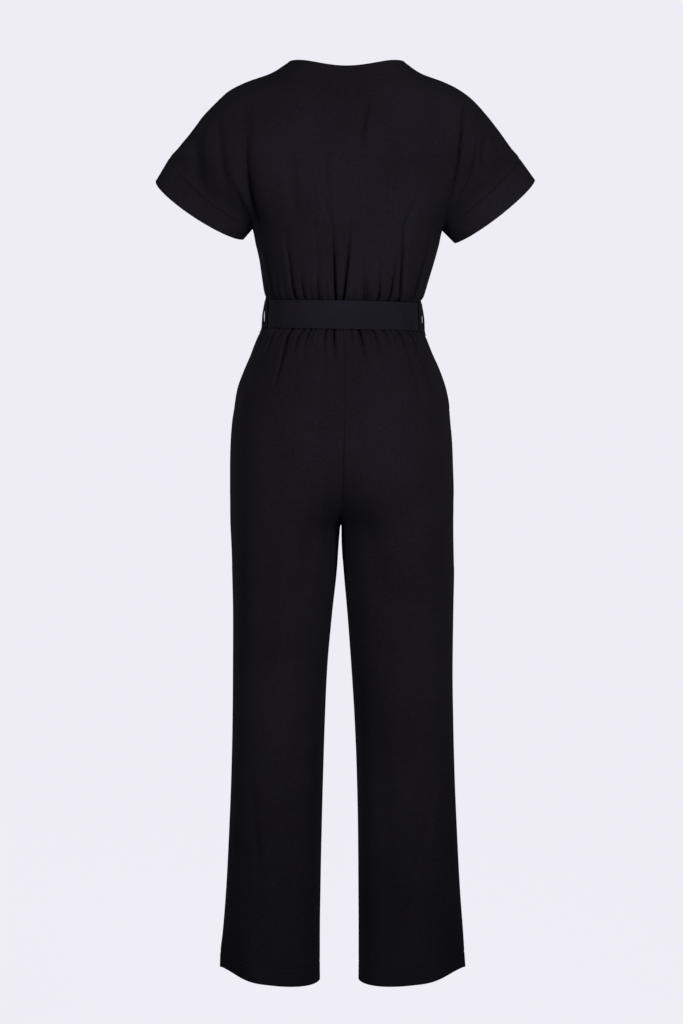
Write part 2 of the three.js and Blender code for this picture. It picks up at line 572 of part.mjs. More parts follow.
// The side of the hip that shows in the pocket mouth. It is tucked under the front and the back.
function pocketFacing(side) {
  const levels = [CASING_LOW - SEAM, -406.3, -409.5, -415, -424, -438, -456, -480, -508, FACING_LOW];
  const rows = levels.map((z) => {
    const reach = rowAt(HIP_RINGS, z)[side] * 1.4;
    const forward = 1 - pocketEdge(Math.max(z, POCKET_LOW), side) + FACING_UNDER_FRONT / reach;
    const shares = [...evenColumns(-forward, 0, 4), FACING_UNDER_BACK / reach];
    return shares.map((around) => {
      const under = FACING_INSET + FACING_TUCK * smoothstep(z, -416, -406);
      const point = trouserPoint(z, 1 - Math.abs(around), side, around < 0 ? 'front' : 'back', under);
      if (around === 0) point.y = 0;
      return { around, point };
    });
  });
  return clothWall(rows, { thick: 1.2, flip: side === 'right' });
}

// A level band round the waist, between two heights and a distance outside the waist ring.
function waistBand(top, low, outside, thick) {
  const ring = rowAt(HIP_RINGS, CASING_LOW);
  const rows = [top, low].map((z) => evenColumns(0, 1, RING_SEGMENTS).slice(0, -1).map((around) => {
    const angle = around * 2 * Math.PI;
    const deep = (Math.sin(angle) > 0 ? ring.back : ring.front) + outside;
    const x = ring.seam + ((ring.left + ring.right) / 2 + outside) * Math.cos(angle);
    return { around, point: lean(x, deep * Math.sin(angle), z) };
  }));
  return clothWall(rows, { thick, closed: 1, seams: { top: Z, low: Z } });
}

// The knot: a filled lump of folded belt, from rounded level rings.
function beltKnot() {
  const face = rowAt(HIP_RINGS, CASING_LOW).front + BELT_CLEAR + DOUBLE_CLOTH + KNOT.clear;
  const middleZ = (BELT_TOP + BELT_LOW) / 2;
  const profile = Array.from({ length: KNOT_RINGS + 1 }, (_, i) => {
    const angle = (i / KNOT_RINGS) * Math.PI;
    return new THREE.Vector2(Math.max(Math.sin(angle) ** 0.7, 1e-6), -Math.cos(angle));
  });
  profile[0].x = 0;
  profile[KNOT_RINGS].x = 0;
  const geometry = new THREE.LatheGeometry(profile, 16);
  const place = geometry.getAttribute('position');
  for (let i = 0; i < place.count; i += 1) {
    const [x, up, y] = [place.getX(i), place.getY(i), place.getZ(i)];
    const pinch = 1 - 0.16 * (1 - up * up);
    const depth = KNOT.depth * (1 - 0.12 * up * up);
    const point = lean(
      x * KNOT.halfWidth * pinch,
      -face - depth * (0.5 + 0.5 * y),
      middleZ + up * KNOT.halfHeight,
    );
    place.setXYZ(i, point.x, point.y, point.z);
  }
  return geometry;
}

// A free end of the belt, hanging from the knot in front of the trousers.
function beltEnd(end) {
  const topZ = (BELT_TOP + BELT_LOW) / 2 - KNOT.halfHeight - 0.5;
  const rows = evenColumns(0, 1, 12).map((run) => {
    const z = topZ - run * end.length;
    const width = lerp(end.topWidth, end.lowWidth, smoothstep(run, 0, 0.35));
    const centre = lerp(end.topX, end.lowX, run);
    const out = Math.max(column(HIP_RINGS, 'front', z), column(HIP_RINGS, 'front', -480) - 40 * (1 - run));
    return evenColumns(-1, 1, 4).map((around) => {
      const y = out + end.clear + DOUBLE_CLOTH + BELT_END_BOW * (1 - around * around);
      return { around, point: lean(centre + (around * width) / 2, -y, z) };
    });
  });
  return clothWall(rows, { thick: DOUBLE_CLOTH });
}

// A belt loop at a side seam, bowed out past the belt and caught in the seams above and below it.
function beltLoop(side) {
  const outward = side === 'left' ? 1 : -1;
  const ring = HIP_RINGS[0][side];
  const rows = LOOP_LINE.map((row) => [-1, 1].map((around) => (
    { around, point: lean(outward * (ring + row[side]), (around * LOOP_WIDTH) / 2, row.z) })));
  return clothWall(rows, { thick: LOOP_THICK, flip: side === 'right' });
}

const jumpsuit = new THREE.Group();
jumpsuit.add(
  named('bodice_back', bodiceBack(), BLACK_CREPE),
  named('waist_casing', waistBand(CASING_TOP, CASING_LOW, 0, CASING_THICK), BLACK_CREPE),
  named('belt_band', waistBand(BELT_TOP, BELT_LOW, BELT_CLEAR + DOUBLE_CLOTH, DOUBLE_CLOTH), BELT_CREPE),
  named('belt_knot', beltKnot(), BELT_CREPE),
);
for (const side of ['left', 'right']) {
  jumpsuit.add(
    named(`bodice_front_${side}`, bodiceFront(side), BLACK_CREPE),
    named(`sleeve_cuff_${side}`, cuff(side), BLACK_CREPE),
    named(`trouser_back_${side}`, trouserPanel(side, 'back'), BLACK_CREPE),
    named(`trouser_front_${side}`, trouserPanel(side, 'front'), BLACK_CREPE),
    named(`pocket_facing_${side}`, pocketFacing(side), BLACK_CREPE),
    named(`belt_loop_${side}`, beltLoop(side), BELT_CREPE),
  );
}
for (const end of BELT_ENDS) jumpsuit.add(named(end.name, beltEnd(end), BELT_CREPE));

export default jumpsuit;
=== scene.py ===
# %% [markdown]
# # A black crepe jumpsuit, seen from behind
# The garment stands as if somebody wore it, with nobody in it. Soft cloth like this is made of flat panels
# that are cut, gathered and sewn. So each panel here starts as a flat grid of cloth and is then laid round
# the body by one function of where it lies. The grid keeps its own flat coordinates, and the weave follows
# them.

# %% Load the fixed frame
import math
from functools import lru_cache

import bmesh
import bpy
from mathutils import Matrix, Vector, noise


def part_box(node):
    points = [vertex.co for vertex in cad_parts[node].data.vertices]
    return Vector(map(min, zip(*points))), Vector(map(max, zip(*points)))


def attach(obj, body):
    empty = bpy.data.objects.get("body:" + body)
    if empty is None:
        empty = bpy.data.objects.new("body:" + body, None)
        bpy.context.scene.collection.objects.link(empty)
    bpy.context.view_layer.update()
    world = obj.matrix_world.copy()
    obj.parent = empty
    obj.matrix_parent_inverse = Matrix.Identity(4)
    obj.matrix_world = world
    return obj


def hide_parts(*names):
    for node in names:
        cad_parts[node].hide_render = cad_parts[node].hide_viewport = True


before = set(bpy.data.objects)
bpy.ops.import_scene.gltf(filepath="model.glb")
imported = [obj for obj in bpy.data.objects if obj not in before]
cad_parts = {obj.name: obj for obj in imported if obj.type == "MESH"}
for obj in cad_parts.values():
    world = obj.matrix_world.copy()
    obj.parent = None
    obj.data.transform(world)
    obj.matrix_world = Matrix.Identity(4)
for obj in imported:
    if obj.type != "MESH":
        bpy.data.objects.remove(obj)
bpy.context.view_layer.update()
print("solids in the frame:", len(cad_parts))

# %% [markdown]
# ## Camera, floor and light
# The garment is seen from behind, so the camera stands on the +Y side, a little below the waist, and looks
# slightly down. Floor and sky share one pale tone, so no horizon shows. Black cloth needs soft light with a
# direction: two wide lamps behind the garment and two before it shape its folds, and only a little light
# comes from the sky, which would wash them out. The camera alone sees the sky at its full strength.

# %% Camera
MM = 0.001
CAMERA_PLACE = Vector((0.0011, 2.9, -0.44))
CAMERA_PITCH = math.radians(4.966)
# the sensor's longer side lies along the picture's height
SENSOR, LENS = 36, 65.18

camera = bpy.data.objects.new("camera", bpy.data.cameras.new("camera"))
camera.data.sensor_width = SENSOR
camera.data.lens = LENS
camera.location = CAMERA_PLACE
camera.rotation_euler = (math.radians(90) - CAMERA_PITCH, 0, math.radians(180))
bpy.context.scene.collection.objects.link(camera)
bpy.context.scene.camera = camera


# %% Colours and nodes
def linear(hex_colour):
    """An sRGB hex colour as the linear numbers that shaders work with."""
    parts = [int(hex_colour[i:i + 2], 16) / 255 for i in (1, 3, 5)]
    return [p / 12.92 if p <= 0.04045 else ((p + 0.055) / 1.055) ** 2.4 for p in parts] + [1.0]


def add_node(tree, kind, settings=None, **links):
    """Adds one node. settings are its own options and its sockets' values, links are sockets joined to it."""
    node = tree.nodes.new(kind)
    for name, value in (settings or {}).items():
        if name in node.inputs:
            node.inputs[name].default_value = value
        else:
            setattr(node, name, value)
    for name, socket in links.items():
        tree.links.new(socket, node.inputs[name.replace("_", " ")])
    return node


def new_material(name):
    """An empty material and its tree."""
    material = bpy.data.materials.new(name)
    material.use_nodes = True
    material.node_tree.nodes.clear()
    return material, material.node_tree


# %% Floor, sky and lamps
BACKDROP = "#eeedf5"
UNLIT_PAPER = "#56555b"
PAPER_GLOW = 0.99
# the garment hangs free, half a metre above the floor
FLOOR_LEVEL, FLOOR_RADIUS = -1.95, 40

paper, tree = new_material("matt_lilac_white_paper")
shader = add_node(tree, "ShaderNodeBsdfPrincipled", {
    "Base Color": linear(UNLIT_PAPER), "Roughness": 0.9, "Specular IOR Level": 0.0,
    "Emission Color": linear(BACKDROP), "Emission Strength": PAPER_GLOW,
})
add_node(tree, "ShaderNodeOutputMaterial", Surface=shader.outputs["BSDF"])

bm = bmesh.new()
below = Matrix.Translation((0, 0, FLOOR_LEVEL))
bmesh.ops.create_circle(bm, cap_ends=True, segments=96, radius=FLOOR_RADIUS, matrix=below)
floor = bpy.data.objects.new("floor", bpy.data.meshes.new("floor"))
bm.to_mesh(floor.data)
bm.free()
floor.data.materials.append(paper)
floor.visible_diffuse = False
floor.visible_glossy = False
bpy.context.scene.collection.objects.link(floor)

# the strength of the sky that the cloth sees, where the camera sees 1
SKY_ON_CLOTH = 0.085

sky = bpy.data.worlds.new("pale_studio")
sky.use_nodes = True
tree = sky.node_tree
tree.nodes.clear()
ray = add_node(tree, "ShaderNodeLightPath")
strength = add_node(tree, "ShaderNodeMapRange", {"To Min": SKY_ON_CLOTH, "To Max": 1.0},
                    Value=ray.outputs["Is Camera Ray"])
glow = add_node(tree, "ShaderNodeBackground", {"Color": linear(BACKDROP)},
                Strength=strength.outputs["Result"])
add_node(tree, "ShaderNodeOutputWorld", Surface=glow.outputs["Background"])
bpy.context.scene.world = sky
bpy.context.scene.view_settings.view_transform = "Standard"

# every lamp looks at the hips, and its beam is this many degrees wide
LAMP_AIM, LAMP_BEAM = (0, 0, -0.48), 56


def soft_lamp(name, place, size, watts):
    """A wide, square lamp, which the cloth doesn't mirror."""
    lamp = bpy.data.objects.new(name, bpy.data.lights.new(name, "AREA"))
    lamp.data.size = size
    lamp.data.energy = watts
    lamp.data.spread = math.radians(LAMP_BEAM)
    lamp.location = place
    lamp.visible_glossy = False
    lamp.rotation_euler = (Vector(LAMP_AIM) - Vector(place)).to_track_quat("-Z", "Y").to_euler()
    bpy.context.scene.collection.objects.link(lamp)


# the lamps in front are those behind, turned half way round
for where, turn in (("behind", 1), ("front", -1)):
    soft_lamp(f"key_{where}", (-1.9 * turn, 2.7 * turn, 0.4), size=1.0, watts=7.6)
    soft_lamp(f"fill_{where}", (2.0 * turn, 2.6 * turn, 0), size=1.4, watts=5.2)
print("camera, floor, sky and four lamps are ready")

# %% [markdown]
# ## The size tables
# A garment on a body is described well by level rings. Each row says how wide and how deep the garment is
# at one height. All tables are in millimetres, like the solids that they match, and one smooth curve runs
# through each column, so a panel can have as many rows as it needs.

# %% Rings of the garment
CUFF_TOP, ARMPIT, CASING_TOP, CASING_LOW = -146, -252, -364, -402
CROTCH, HEM = -712, -1432

# height, width to the wearer's left, width to the right, depth of the back, depth of the front
BODICE_RINGS = (
    (0, 83, 96.5, 62, 20), (-6.5, 93, 105.5, 66, 28), (-12.5, 102, 114, 69, 34), (-18.5, 114, 125, 71, 40),
    (-30.5, 150, 159, 75, 50), (-43, 175.5, 184.5, 79, 58), (-55, 189.5, 200.5, 83, 65),
    (-79, 213.5, 223, 90, 78), (-104, 233, 243, 96, 91), (-128, 252.5, 260.5, 100, 102),
    (CUFF_TOP, 266.5, 274, 102, 110), (ARMPIT, 139.5, 155.5, 103, 121), (-275, 134.5, 150, 102, 118),
    (-302, 128.5, 142.5, 100, 111), (-330, 124.5, 134, 97, 103), (-347, 122, 129, 95, 97),
    (-355.5, 120, 126, 93.5, 92.5), (-359.5, 118.2, 122.7, 92, 90.6), (-362, 116, 119.6, 90.5, 88.5),
    (CASING_TOP, 115.5, 119, 90, 88),
)
# the same, then how far the two halves have parted, and how far the centre seam has wandered
HIP_RINGS = (
    (CASING_LOW, 115.5, 119, 90, 88, 0, -1.75), (-406.3, 116, 119.5, 90.5, 88.5, 0, -1.75),
    (-409.5, 122, 125, 95, 91.5, 0, -2), (-415, 128.5, 129.5, 99, 94, 0, -2),
    (-423, 132.5, 133, 102, 95.5, 0, -2.5), (-438, 138.7, 139, 107, 97.5, 0, -3),
    (-454, 144.7, 146, 112, 100, 0, -4), (-477, 153.8, 154.5, 118, 102.5, 0, -4),
    (-501, 162.5, 162, 123, 104, 0, -4), (-524, 167.4, 166.8, 127, 105, 0, -4),
    (-550, 172, 169.2, 129.5, 105.5, 0.03, -3.5), (-585, 174.8, 172.4, 130, 105, 0.15, -2.5),
    (-620, 175.8, 173.8, 127, 104, 0.34, -1.5), (-655, 176, 175, 121.5, 102, 0.57, -0.5),
    (-684, 176.2, 175.2, 115, 99.5, 0.78, 0.8), (-702, 176.2, 175, 111, 98, 0.92, 1.6),
    (-710, 176.2, 175, 109, 97.5, 0.98, 2),
)
# height, side seam left and right, depth of the back and the front, inside leg seam left and right
LEG_RINGS = (
    (-714, 176, 175, 108, 97, 3, -1.5), (-738, 174.8, 175.4, 103, 95, 5, -1.2),
    (-784, 173.4, 176.3, 96, 90.5, 8.2, 2), (-850, 172.3, 175.4, 88, 85, 15.4, 7.8),
    (-940, 173, 174.8, 80, 78, 23.4, 14.4), (-1023, 174, 176.2, 76, 74, 27.2, 19.5),
    (-1110, 176.3, 178.8, 73, 71, 30, 23), (-1200, 180.3, 183, 70, 69, 32.4, 24.9),
    (-1290, 185.3, 187.9, 68, 68, 34.3, 25.6), (-1370, 191.7, 193.9, 67, 68, 35.5, 26),
    (-1410, 195.8, 196.4, 67, 68, 35.6, 26), (HEM, 196.6, 198, 67, 68, 35.4, 25.8),
)
LEFT, RIGHT, BACK, FRONT = 1, 2, 3, 4
SIDE_COLUMN = {"left": LEFT, "right": RIGHT}
FACE_COLUMN = {"back": BACK, "front": FRONT}


# %% One smooth curve through a column
def column(table, k, z):
    """The value of column k at height z, on a curve that never overshoots the rows."""
    if z >= table[0][0]:
        return table[0][k]
    last = len(table) - 1
    if z <= table[last][0]:
        return table[last][k]
    i = next(n for n in range(last) if z >= table[n + 1][0])

    def rise(a):
        return (table[a + 1][k] - table[a][k]) / (table[a + 1][0] - table[a][0])

    def slope(a):
        if a in (0, last):
            return rise(min(a, last - 1))
        before, after = rise(a - 1), rise(a)
        return 0 if before * after <= 0 else 2 * before * after / (before + after)

    span = table[i + 1][0] - table[i][0]
    t = (z - table[i][0]) / span
    return (table[i][k] * (1 + 2 * t) * (1 - t) ** 2 + slope(i) * span * t * (1 - t) ** 2
            + table[i + 1][k] * t * t * (3 - 2 * t) + slope(i + 1) * span * t * t * (t - 1))


def clamp(value, low=0.0, high=1.0):
    """The value, or the nearer end of its range."""
    return max(low, min(high, value))


def lerp(a, b, t):
    """The way from a to b: a at 0, b at 1."""
    return a + (b - a) * t


def ease(value, low, high):
    """0 below low, 1 above high, and a soft step between them."""
    t = clamp((value - low) / (high - low))
    return t * t * (3 - 2 * t)


# %% [markdown]
# ## Folds
# Where a wide panel is drawn on to a short waist, the spare cloth stands up in rounded puffs with sharp
# valleys between them. The valleys start at the seam, lean outwards with the body, get wider and shallower,
# and fade. Longer, softer troughs hang where the cloth is pulled between the shoulder, the sleeve and the
# waist. Both are moves of the cloth inwards, because the widths in the tables are those of the puffs.

# %% Gathers at the waist
# where round the ring, lean over its length, length, depth and width in mm
BODICE_BACK_FOLDS = (
    (-0.9, 0.0, 60, 2, 10), (-0.81, 0.0, 90, 3, 12), (-0.702, 0.0, 140, 8, 16), (-0.62, 0.02, 46, 1.8, 9),
    (-0.53, 0.2, 210, 7, 13), (-0.46, 0.04, 40, 1.4, 9), (-0.4, 0.02, 72, 6, 10),
    (-0.298, 0.035, 72, 5.2, 10), (-0.235, 0.03, 34, 1.4, 8), (-0.2, 0.065, 70, 3.4, 7),
    (-0.171, 0.07, 190, 4.8, 10), (-0.08, 0.01, 44, 1.6, 9), (-0.002, -0.015, 160, 7, 9),
    (0.064, 0.062, 205, 7, 9), (0.135, 0.02, 46, 1.6, 9), (0.212, 0.02, 180, 4.2, 11),
    (0.27, 0.02, 36, 1.4, 8), (0.335, 0.03, 60, 4.4, 9), (0.43, 0.045, 120, 6.2, 11),
    (0.52, 0.03, 44, 1.6, 9), (0.61, 0.02, 60, 2.4, 10), (0.717, 0.05, 135, 7.5, 15), (0.8, 0.0, 60, 2, 10),
    (0.88, 0.0, 70, 2.6, 10),
)
BODICE_FRONT_FOLDS = (
    (-0.84, -0.05, 60, 2.4, 11), (-0.72, -0.06, 110, 4.5, 15), (-0.57, -0.05, 90, 4, 14),
    (-0.5, -0.03, 40, 2.2, 10), (-0.43, -0.06, 130, 5, 15), (-0.35, -0.03, 44, 2.2, 10),
    (-0.28, -0.05, 80, 3.6, 13), (-0.13, -0.03, 105, 4.2, 14), (-0.03, 0, 40, 2.4, 10),
    (0.06, 0.02, 90, 4, 14), (0.14, 0.02, 44, 2.2, 10), (0.22, 0.05, 115, 4.4, 14), (0.3, 0.03, 40, 2, 9),
    (0.38, 0.05, 85, 3.8, 13), (0.54, 0.06, 125, 5, 15), (0.63, 0.04, 44, 2.2, 10),
    (0.72, 0.06, 100, 4.2, 15), (0.85, 0.05, 58, 2.4, 11),
)
TROUSER_BACK_FOLDS = (
    (-0.92, 0.0, 80, 2, 8), (-0.84, -0.01, 110, 3.2, 10), (-0.76, -0.02, 60, 2, 8),
    (-0.68, -0.03, 70, 3.4, 10), (-0.602, -0.08, 175, 5.2, 11), (-0.54, -0.02, 44, 1.6, 8),
    (-0.486, -0.045, 135, 5.4, 11), (-0.41, -0.02, 46, 2, 8), (-0.336, -0.04, 60, 4.8, 10),
    (-0.24, -0.055, 128, 5.4, 11), (-0.199, -0.03, 48, 4, 8), (-0.121, -0.04, 78, 6, 12),
    (-0.066, -0.008, 48, 4, 8), (0.03, -0.01, 30, 2, 7), (0.077, -0.016, 68, 6, 12),
    (0.138, 0.012, 205, 4.6, 9), (0.19, 0.02, 30, 1.6, 7), (0.222, 0.03, 34, 3.4, 7),
    (0.257, 0.045, 62, 5.2, 9), (0.323, 0.06, 62, 5.4, 11), (0.385, 0.02, 36, 1.8, 8),
    (0.45, 0.006, 105, 7, 12), (0.53, 0.02, 46, 2, 8), (0.607, 0.045, 80, 5, 11), (0.68, 0.02, 60, 2.6, 9),
    (0.76, 0.02, 100, 3.8, 10), (0.84, 0.01, 60, 2.2, 8), (0.9, 0.01, 90, 2.8, 9),
)
TROUSER_FRONT_FOLDS = (
    (-0.66, -0.02, 70, 3.8, 13), (-0.59, -0.01, 30, 2, 9), (-0.52, -0.02, 95, 4.8, 14),
    (-0.45, 0, 34, 2.2, 9), (-0.38, -0.02, 60, 4.2, 13), (-0.31, 0, 30, 2, 9), (-0.25, -0.02, 85, 5, 14),
    (-0.18, 0, 32, 2.2, 9), (-0.12, -0.01, 50, 4.2, 13), (0.1, 0.01, 60, 4.6, 13), (0.17, 0, 32, 2.2, 9),
    (0.23, 0.02, 90, 4.6, 14), (0.3, 0, 30, 2, 9), (0.36, 0.02, 52, 4, 13), (0.43, 0.01, 32, 2.2, 9),
    (0.5, 0.02, 80, 5, 14), (0.58, 0.01, 30, 2, 9), (0.65, 0.02, 64, 3.8, 13),
)
GATHERS = {
    ("bodice", "back"): BODICE_BACK_FOLDS, ("bodice", "front"): BODICE_FRONT_FOLDS,
    ("trouser", "back"): TROUSER_BACK_FOLDS, ("trouser", "front"): TROUSER_FRONT_FOLDS,
}

# %% How deep the gathers are
# how sharp the section of a crease is, and how much steeper a fold is on the side that it leans to
CREASE_CURVE, FOLD_SKEW = 2.2, 0.35
# a fold is faint up to the first of these depths in mm, and strong from the second on
FAINT_FOLD, STRONG_FOLD = 5, 7
# the trail of a faint fold and a strong one, as a share of its depth, and the sharpness of a faint one
FAINT_TRAIL, STRONG_TRAIL, FAINT_CREASE = 0.75, 1.25, 0.4
TRAIL_BEND, TRAIL_WIDENS, TRAIL_FADE = 0.6, 0.7, 1.2
# how far in mm the pinch of a faint fold and of a strong one reaches, then its width and depth, as shares of
# the fold's own
PINCH_REACH, LONG_PINCH, PINCH_WIDTH, PINCH_DEPTH = 38, 95, 0.7, 1.5
# how the pinch tapers and down to which share of its width, then the share of its depth that it has at the
# seam, and the distance in mm over which it grows from there
PINCH_TAPER, PINCH_TIP, PINCH_START, PINCH_GROWS = 0.8, 0.4, 0.6, 7


def trough(off, crease):
    """The section of a fold: off is 0 at its bottom and 1 at its rim. crease 1 is sharp and 0 is round."""
    return lerp(0.5 + 0.5 * math.cos(math.pi * off), (1 - off) ** CREASE_CURVE, crease)


def gather_depth(folds, around, drop, reach):
    """How far the gathers push the cloth in, at a share of the way round and a distance from the waist.

    Each fold is a sharp pinch by the seam and a long, soft trail beyond it. Only deep folds stay sharp."""
    depth = 0
    for at, slant, length, deep, width in folds:
        run = drop / length
        if run >= 1:
            continue
        off = (around - at - slant * run ** TRAIL_BEND) * reach / (width / 2)
        off = abs(off) * (1 + FOLD_SKEW if off * (slant or at) > 0 else 1 - FOLD_SKEW)
        if off >= 1 + run:
            continue
        strong = ease(deep, FAINT_FOLD, STRONG_FOLD)
        trail = off / (1 + TRAIL_WIDENS * run)
        if trail < 1:
            valley = trough(trail, lerp(FAINT_CREASE, 1, strong))
            depth += lerp(FAINT_TRAIL, STRONG_TRAIL, strong) * deep * valley * (1 - run) ** TRAIL_FADE
        close = clamp(1 - drop / min(length, lerp(PINCH_REACH, LONG_PINCH, strong))) ** PINCH_TAPER
        pinch = off / (PINCH_WIDTH * lerp(PINCH_TIP, 1, close))
        if pinch < 1 and close > 0:
            start = lerp(PINCH_START, 1, ease(drop, 0, PINCH_GROWS))
            depth += PINCH_DEPTH * deep * trough(pinch, 1) * close * start
    return depth


# %% Drapes
# Each drape is a line from its top to its low end, as (height, x), then its depth and its width in mm, and
# how sharp its crease is, from 0 to 1.
RIGHT_ARMPIT_FOLD = ((-60, -187), (-122, -180.8), (-160, -175.6), (-193, -169), (-216, -163.5), (-250, -155))
SLEEVE_DRAPES = {
    "back": (
        (((-52, 150), (-142, 148), (-197, 141), (-242, 132.5), (-287, 129.7)), 7, 40, 0),
        (((-120, 147), (-160, 144.4), (-197, 140.8), (-242, 131.8), (-290, 129.7)), 12, 13, 1),
        (((-168, 144), (-197, 141), (-242, 132), (-302, 127.5)), 12, 12, 1),
        (((-186, 163), (-206, 155.9), (-238, 142.4), (-250, 137)), 8, 15, 0.8),
        (((-78, 191), (-156, 183), (-218, 160), (-249, 139)), 4.5, 26, 0.3),
        (((-84, 228), (-122, 226), (-165, 220), (-214, 210)), 8, 40, 0),
        (RIGHT_ARMPIT_FOLD, 12, 8.5, 1),
        (RIGHT_ARMPIT_FOLD, 3, 34, 0),
        (((-118, -206), (-140, -204), (-160, -199), (-184, -191.6), (-206, -180)), 5.5, 15, 0.7),
        (((-100, -219), (-122, -216), (-180, -209)), 5, 15, 0.4),
        (((-126, -232), (-166, -252)), 2.4, 9, 1),
        (((-62, -41), (-92, -36), (-146, -26)), 7.5, 10, 1),
        (((-120, 84), (-160, 78), (-250, 72)), 3.4, 28, 0),
        (((-116, -76), (-170, -74), (-260, -80)), 3.4, 28, 0),
        (((-100, 30), (-150, 27), (-250, 22)), 3, 24, 0),
    ),
    "front": (
        (((-56, 152), (-142, 150), (-232, 138), (-280, 130)), 8, 34, 0.4),
        (((-96, 216), (-190, 208)), 6, 44, 0),
        (((-60, -190), (-150, -178), (-250, -156)), 8, 30, 0.4),
        (((-120, -214), (-212, -184)), 5, 24, 0.3),
    ),
}
LEG_DRAPES = {
    "back": (
        (((-1100, 143), (-1185, 137), (-1300, 128)), 2.4, 24, 0.3),
        (((-1110, -141), (-1180, -131), (-1300, -96)), 2.6, 26, 0.3),
        (((-560, 96), (-760, 112), (-1000, 124)), 3, 60, 0),
        (((-560, -92), (-760, -108), (-1000, -122)), 3, 60, 0),
        (((-650, 30), (-720, 44), (-820, 60)), 3.4, 42, 0),
        (((-650, -28), (-720, -42), (-820, -58)), 3.4, 42, 0),
        (((-600, 14), (-680, 12), (-742, 14)), 9, 34, 0.3),
        (((-600, -14), (-680, -9), (-742, -9)), 3, 28, 0.3),
        (((-930, 62), (-1150, 74), (-1400, 84)), 3, 54, 0),
        (((-930, -54), (-1150, -66), (-1400, -78)), 3, 54, 0),
    ),
    "front": (
        (((-540, 70), (-800, 96), (-1120, 104)), 3.4, 56, 0),
        (((-540, -66), (-800, -92), (-1120, -102)), 3.4, 56, 0),
        (((-640, 24), (-712, 40), (-800, 60)), 4.2, 34, 0.2),
        (((-640, -22), (-712, -38), (-800, -58)), 4.2, 34, 0.2),
        (((-980, 70), (-1200, 76), (-1405, 88)), 3, 50, 0),
        (((-980, -62), (-1200, -70), (-1405, -84)), 3, 50, 0),
    ),
}

# how a drape fades towards both its ends
DRAPE_FADE = 0.8
# the slow wander of the cloth: its width and height in mm, and how far down it starts and is full
SLACK = {"bodice": (60, 1.6, 4, 30), "trouser": (90, 2.0, 415, 520)}
# it is longer down the garment than across
SLACK_SQUASH = 0.45


def drape_depth(drapes, x, z):
    """How far the drapes push the cloth in at a place seen from straight behind or in front."""
    depth = 0
    for line, deep, width, crease in drapes:
        top, low = line[0][0], line[-1][0]
        if low < z < top:
            off = abs(x - column(line, 1, z)) / (width / 2)
            if off < 1:
                along = (z - top) / (low - top)
                depth += deep * trough(off, crease) * math.sin(math.pi * along) ** DRAPE_FADE
    return depth


def slack(part, x, y, z):
    """Cloth is never perfectly even: a slow, shallow wander of its surface, always inwards."""
    size, height, start, full = SLACK[part]
    wander = height * (0.5 + 0.5 * noise.noise(Vector((x, y, z * SLACK_SQUASH)) / size))
    return wander * ease(-z, start, full)


# %% [markdown]
# ## Where the bodice lies
# The bodice has its sleeves cut on, so one ring holds the body and both short sleeves. Between the armpit
# and the end of the shoulder seam the ring's ends run along the cuff seams. The back and the front meet
# there, and the sleeve keeps its round, open depth by blending its own tube with the body's.

# %% Sleeves and body
# half the depth of a sleeve's opening, and the width of its cuff
CUFF_DEPTH, CUFF_WIDTH = 52, 40
# the gap between two panels at their seam, and how deep and how far in both of them dip there
SEAM_GAP = 0.06
SEAM_ROLL, SEAM_REACH = 1.6, 1.9
# the outer end of a sleeve's opening, its underarm end, and how much lower than a straight line its seam and
# its edge hang at the back and the front
CUFFS = {
    "left": {"tip": (285.5, -178), "low": (153.5, -268), "seam": {"back": 14, "front": 6},
             "edge": {"back": 17, "front": 9}},
    "right": {"tip": (295.5, -175), "low": (174, -270), "seam": {"back": 7.5, "front": 4},
              "edge": {"back": 12, "front": 9}},
}


# the belt line dips towards the wearer's right by this share of x, and the dip fades above and below it
DIP, DIP_HEIGHT, DIP_FADE_UP, DIP_FADE_DOWN = 0.019, -405.5, 170, 120


def tilt(x, y, z):
    """A point, moved as the dip of the belt line moves it."""
    reach = DIP_FADE_UP if z > DIP_HEIGHT else DIP_FADE_DOWN
    return Vector((x, y, z + DIP * x * math.exp(-((z - DIP_HEIGHT) / reach) ** 2)))


@lru_cache(maxsize=None)
def sleeve_line(side):
    """The straight line from the armpit up to the end of the shoulder seam, and its directions."""
    k = SIDE_COLUMN[side]
    top = next(row[k] for row in BODICE_RINGS if row[0] == CUFF_TOP)
    low = next(row[k] for row in BODICE_RINGS if row[0] == ARMPIT)
    length = math.hypot(top - low, CUFF_TOP - ARMPIT)
    along = ((top - low) / length, (CUFF_TOP - ARMPIT) / length)
    return {"top": top, "low": low, "length": length, "along": along, "down": (along[1], -along[0])}


def oval(share):
    """How high a half circle is, from 0 to 1, at a share of its width."""
    return 2 * math.sqrt(share * (1 - share)) if 0 < share < 1 else 0


@lru_cache(maxsize=None)
def bodice_ring(z):
    """The ring at one height: widths of the whole and of the body alone, and depths."""
    ring = {side: column(BODICE_RINGS, k, z) for side, k in SIDE_COLUMN.items()}
    ring.update({face: column(BODICE_RINGS, k, z) for face, k in FACE_COLUMN.items()})
    share = (z - ARMPIT) / (CUFF_TOP - ARMPIT)
    ring["end"] = oval(share)
    ring["body"] = {side: ring[side] for side in SIDE_COLUMN}
    if ring["end"] > 0:
        for side in SIDE_COLUMN:
            line = sleeve_line(side)
            ring[side] = lerp(line["low"], line["top"], share)
            ring["body"][side] = min(ring["body"][side], ring[side])
    return ring


def body_depth(ring, x, face):
    """How far the body alone reaches back or forward at x."""
    middle = (ring["body"]["left"] - ring["body"]["right"]) / 2
    half = (ring["body"]["left"] + ring["body"]["right"]) / 2
    return ring[face] * math.sqrt(max(0.0, 1 - ((x - middle) / half) ** 2))


def seam_roll(distance):
    """Both edges of a seam dip a little towards its stitches."""
    return SEAM_ROLL * (1 - ease(distance, 0, SEAM_REACH))


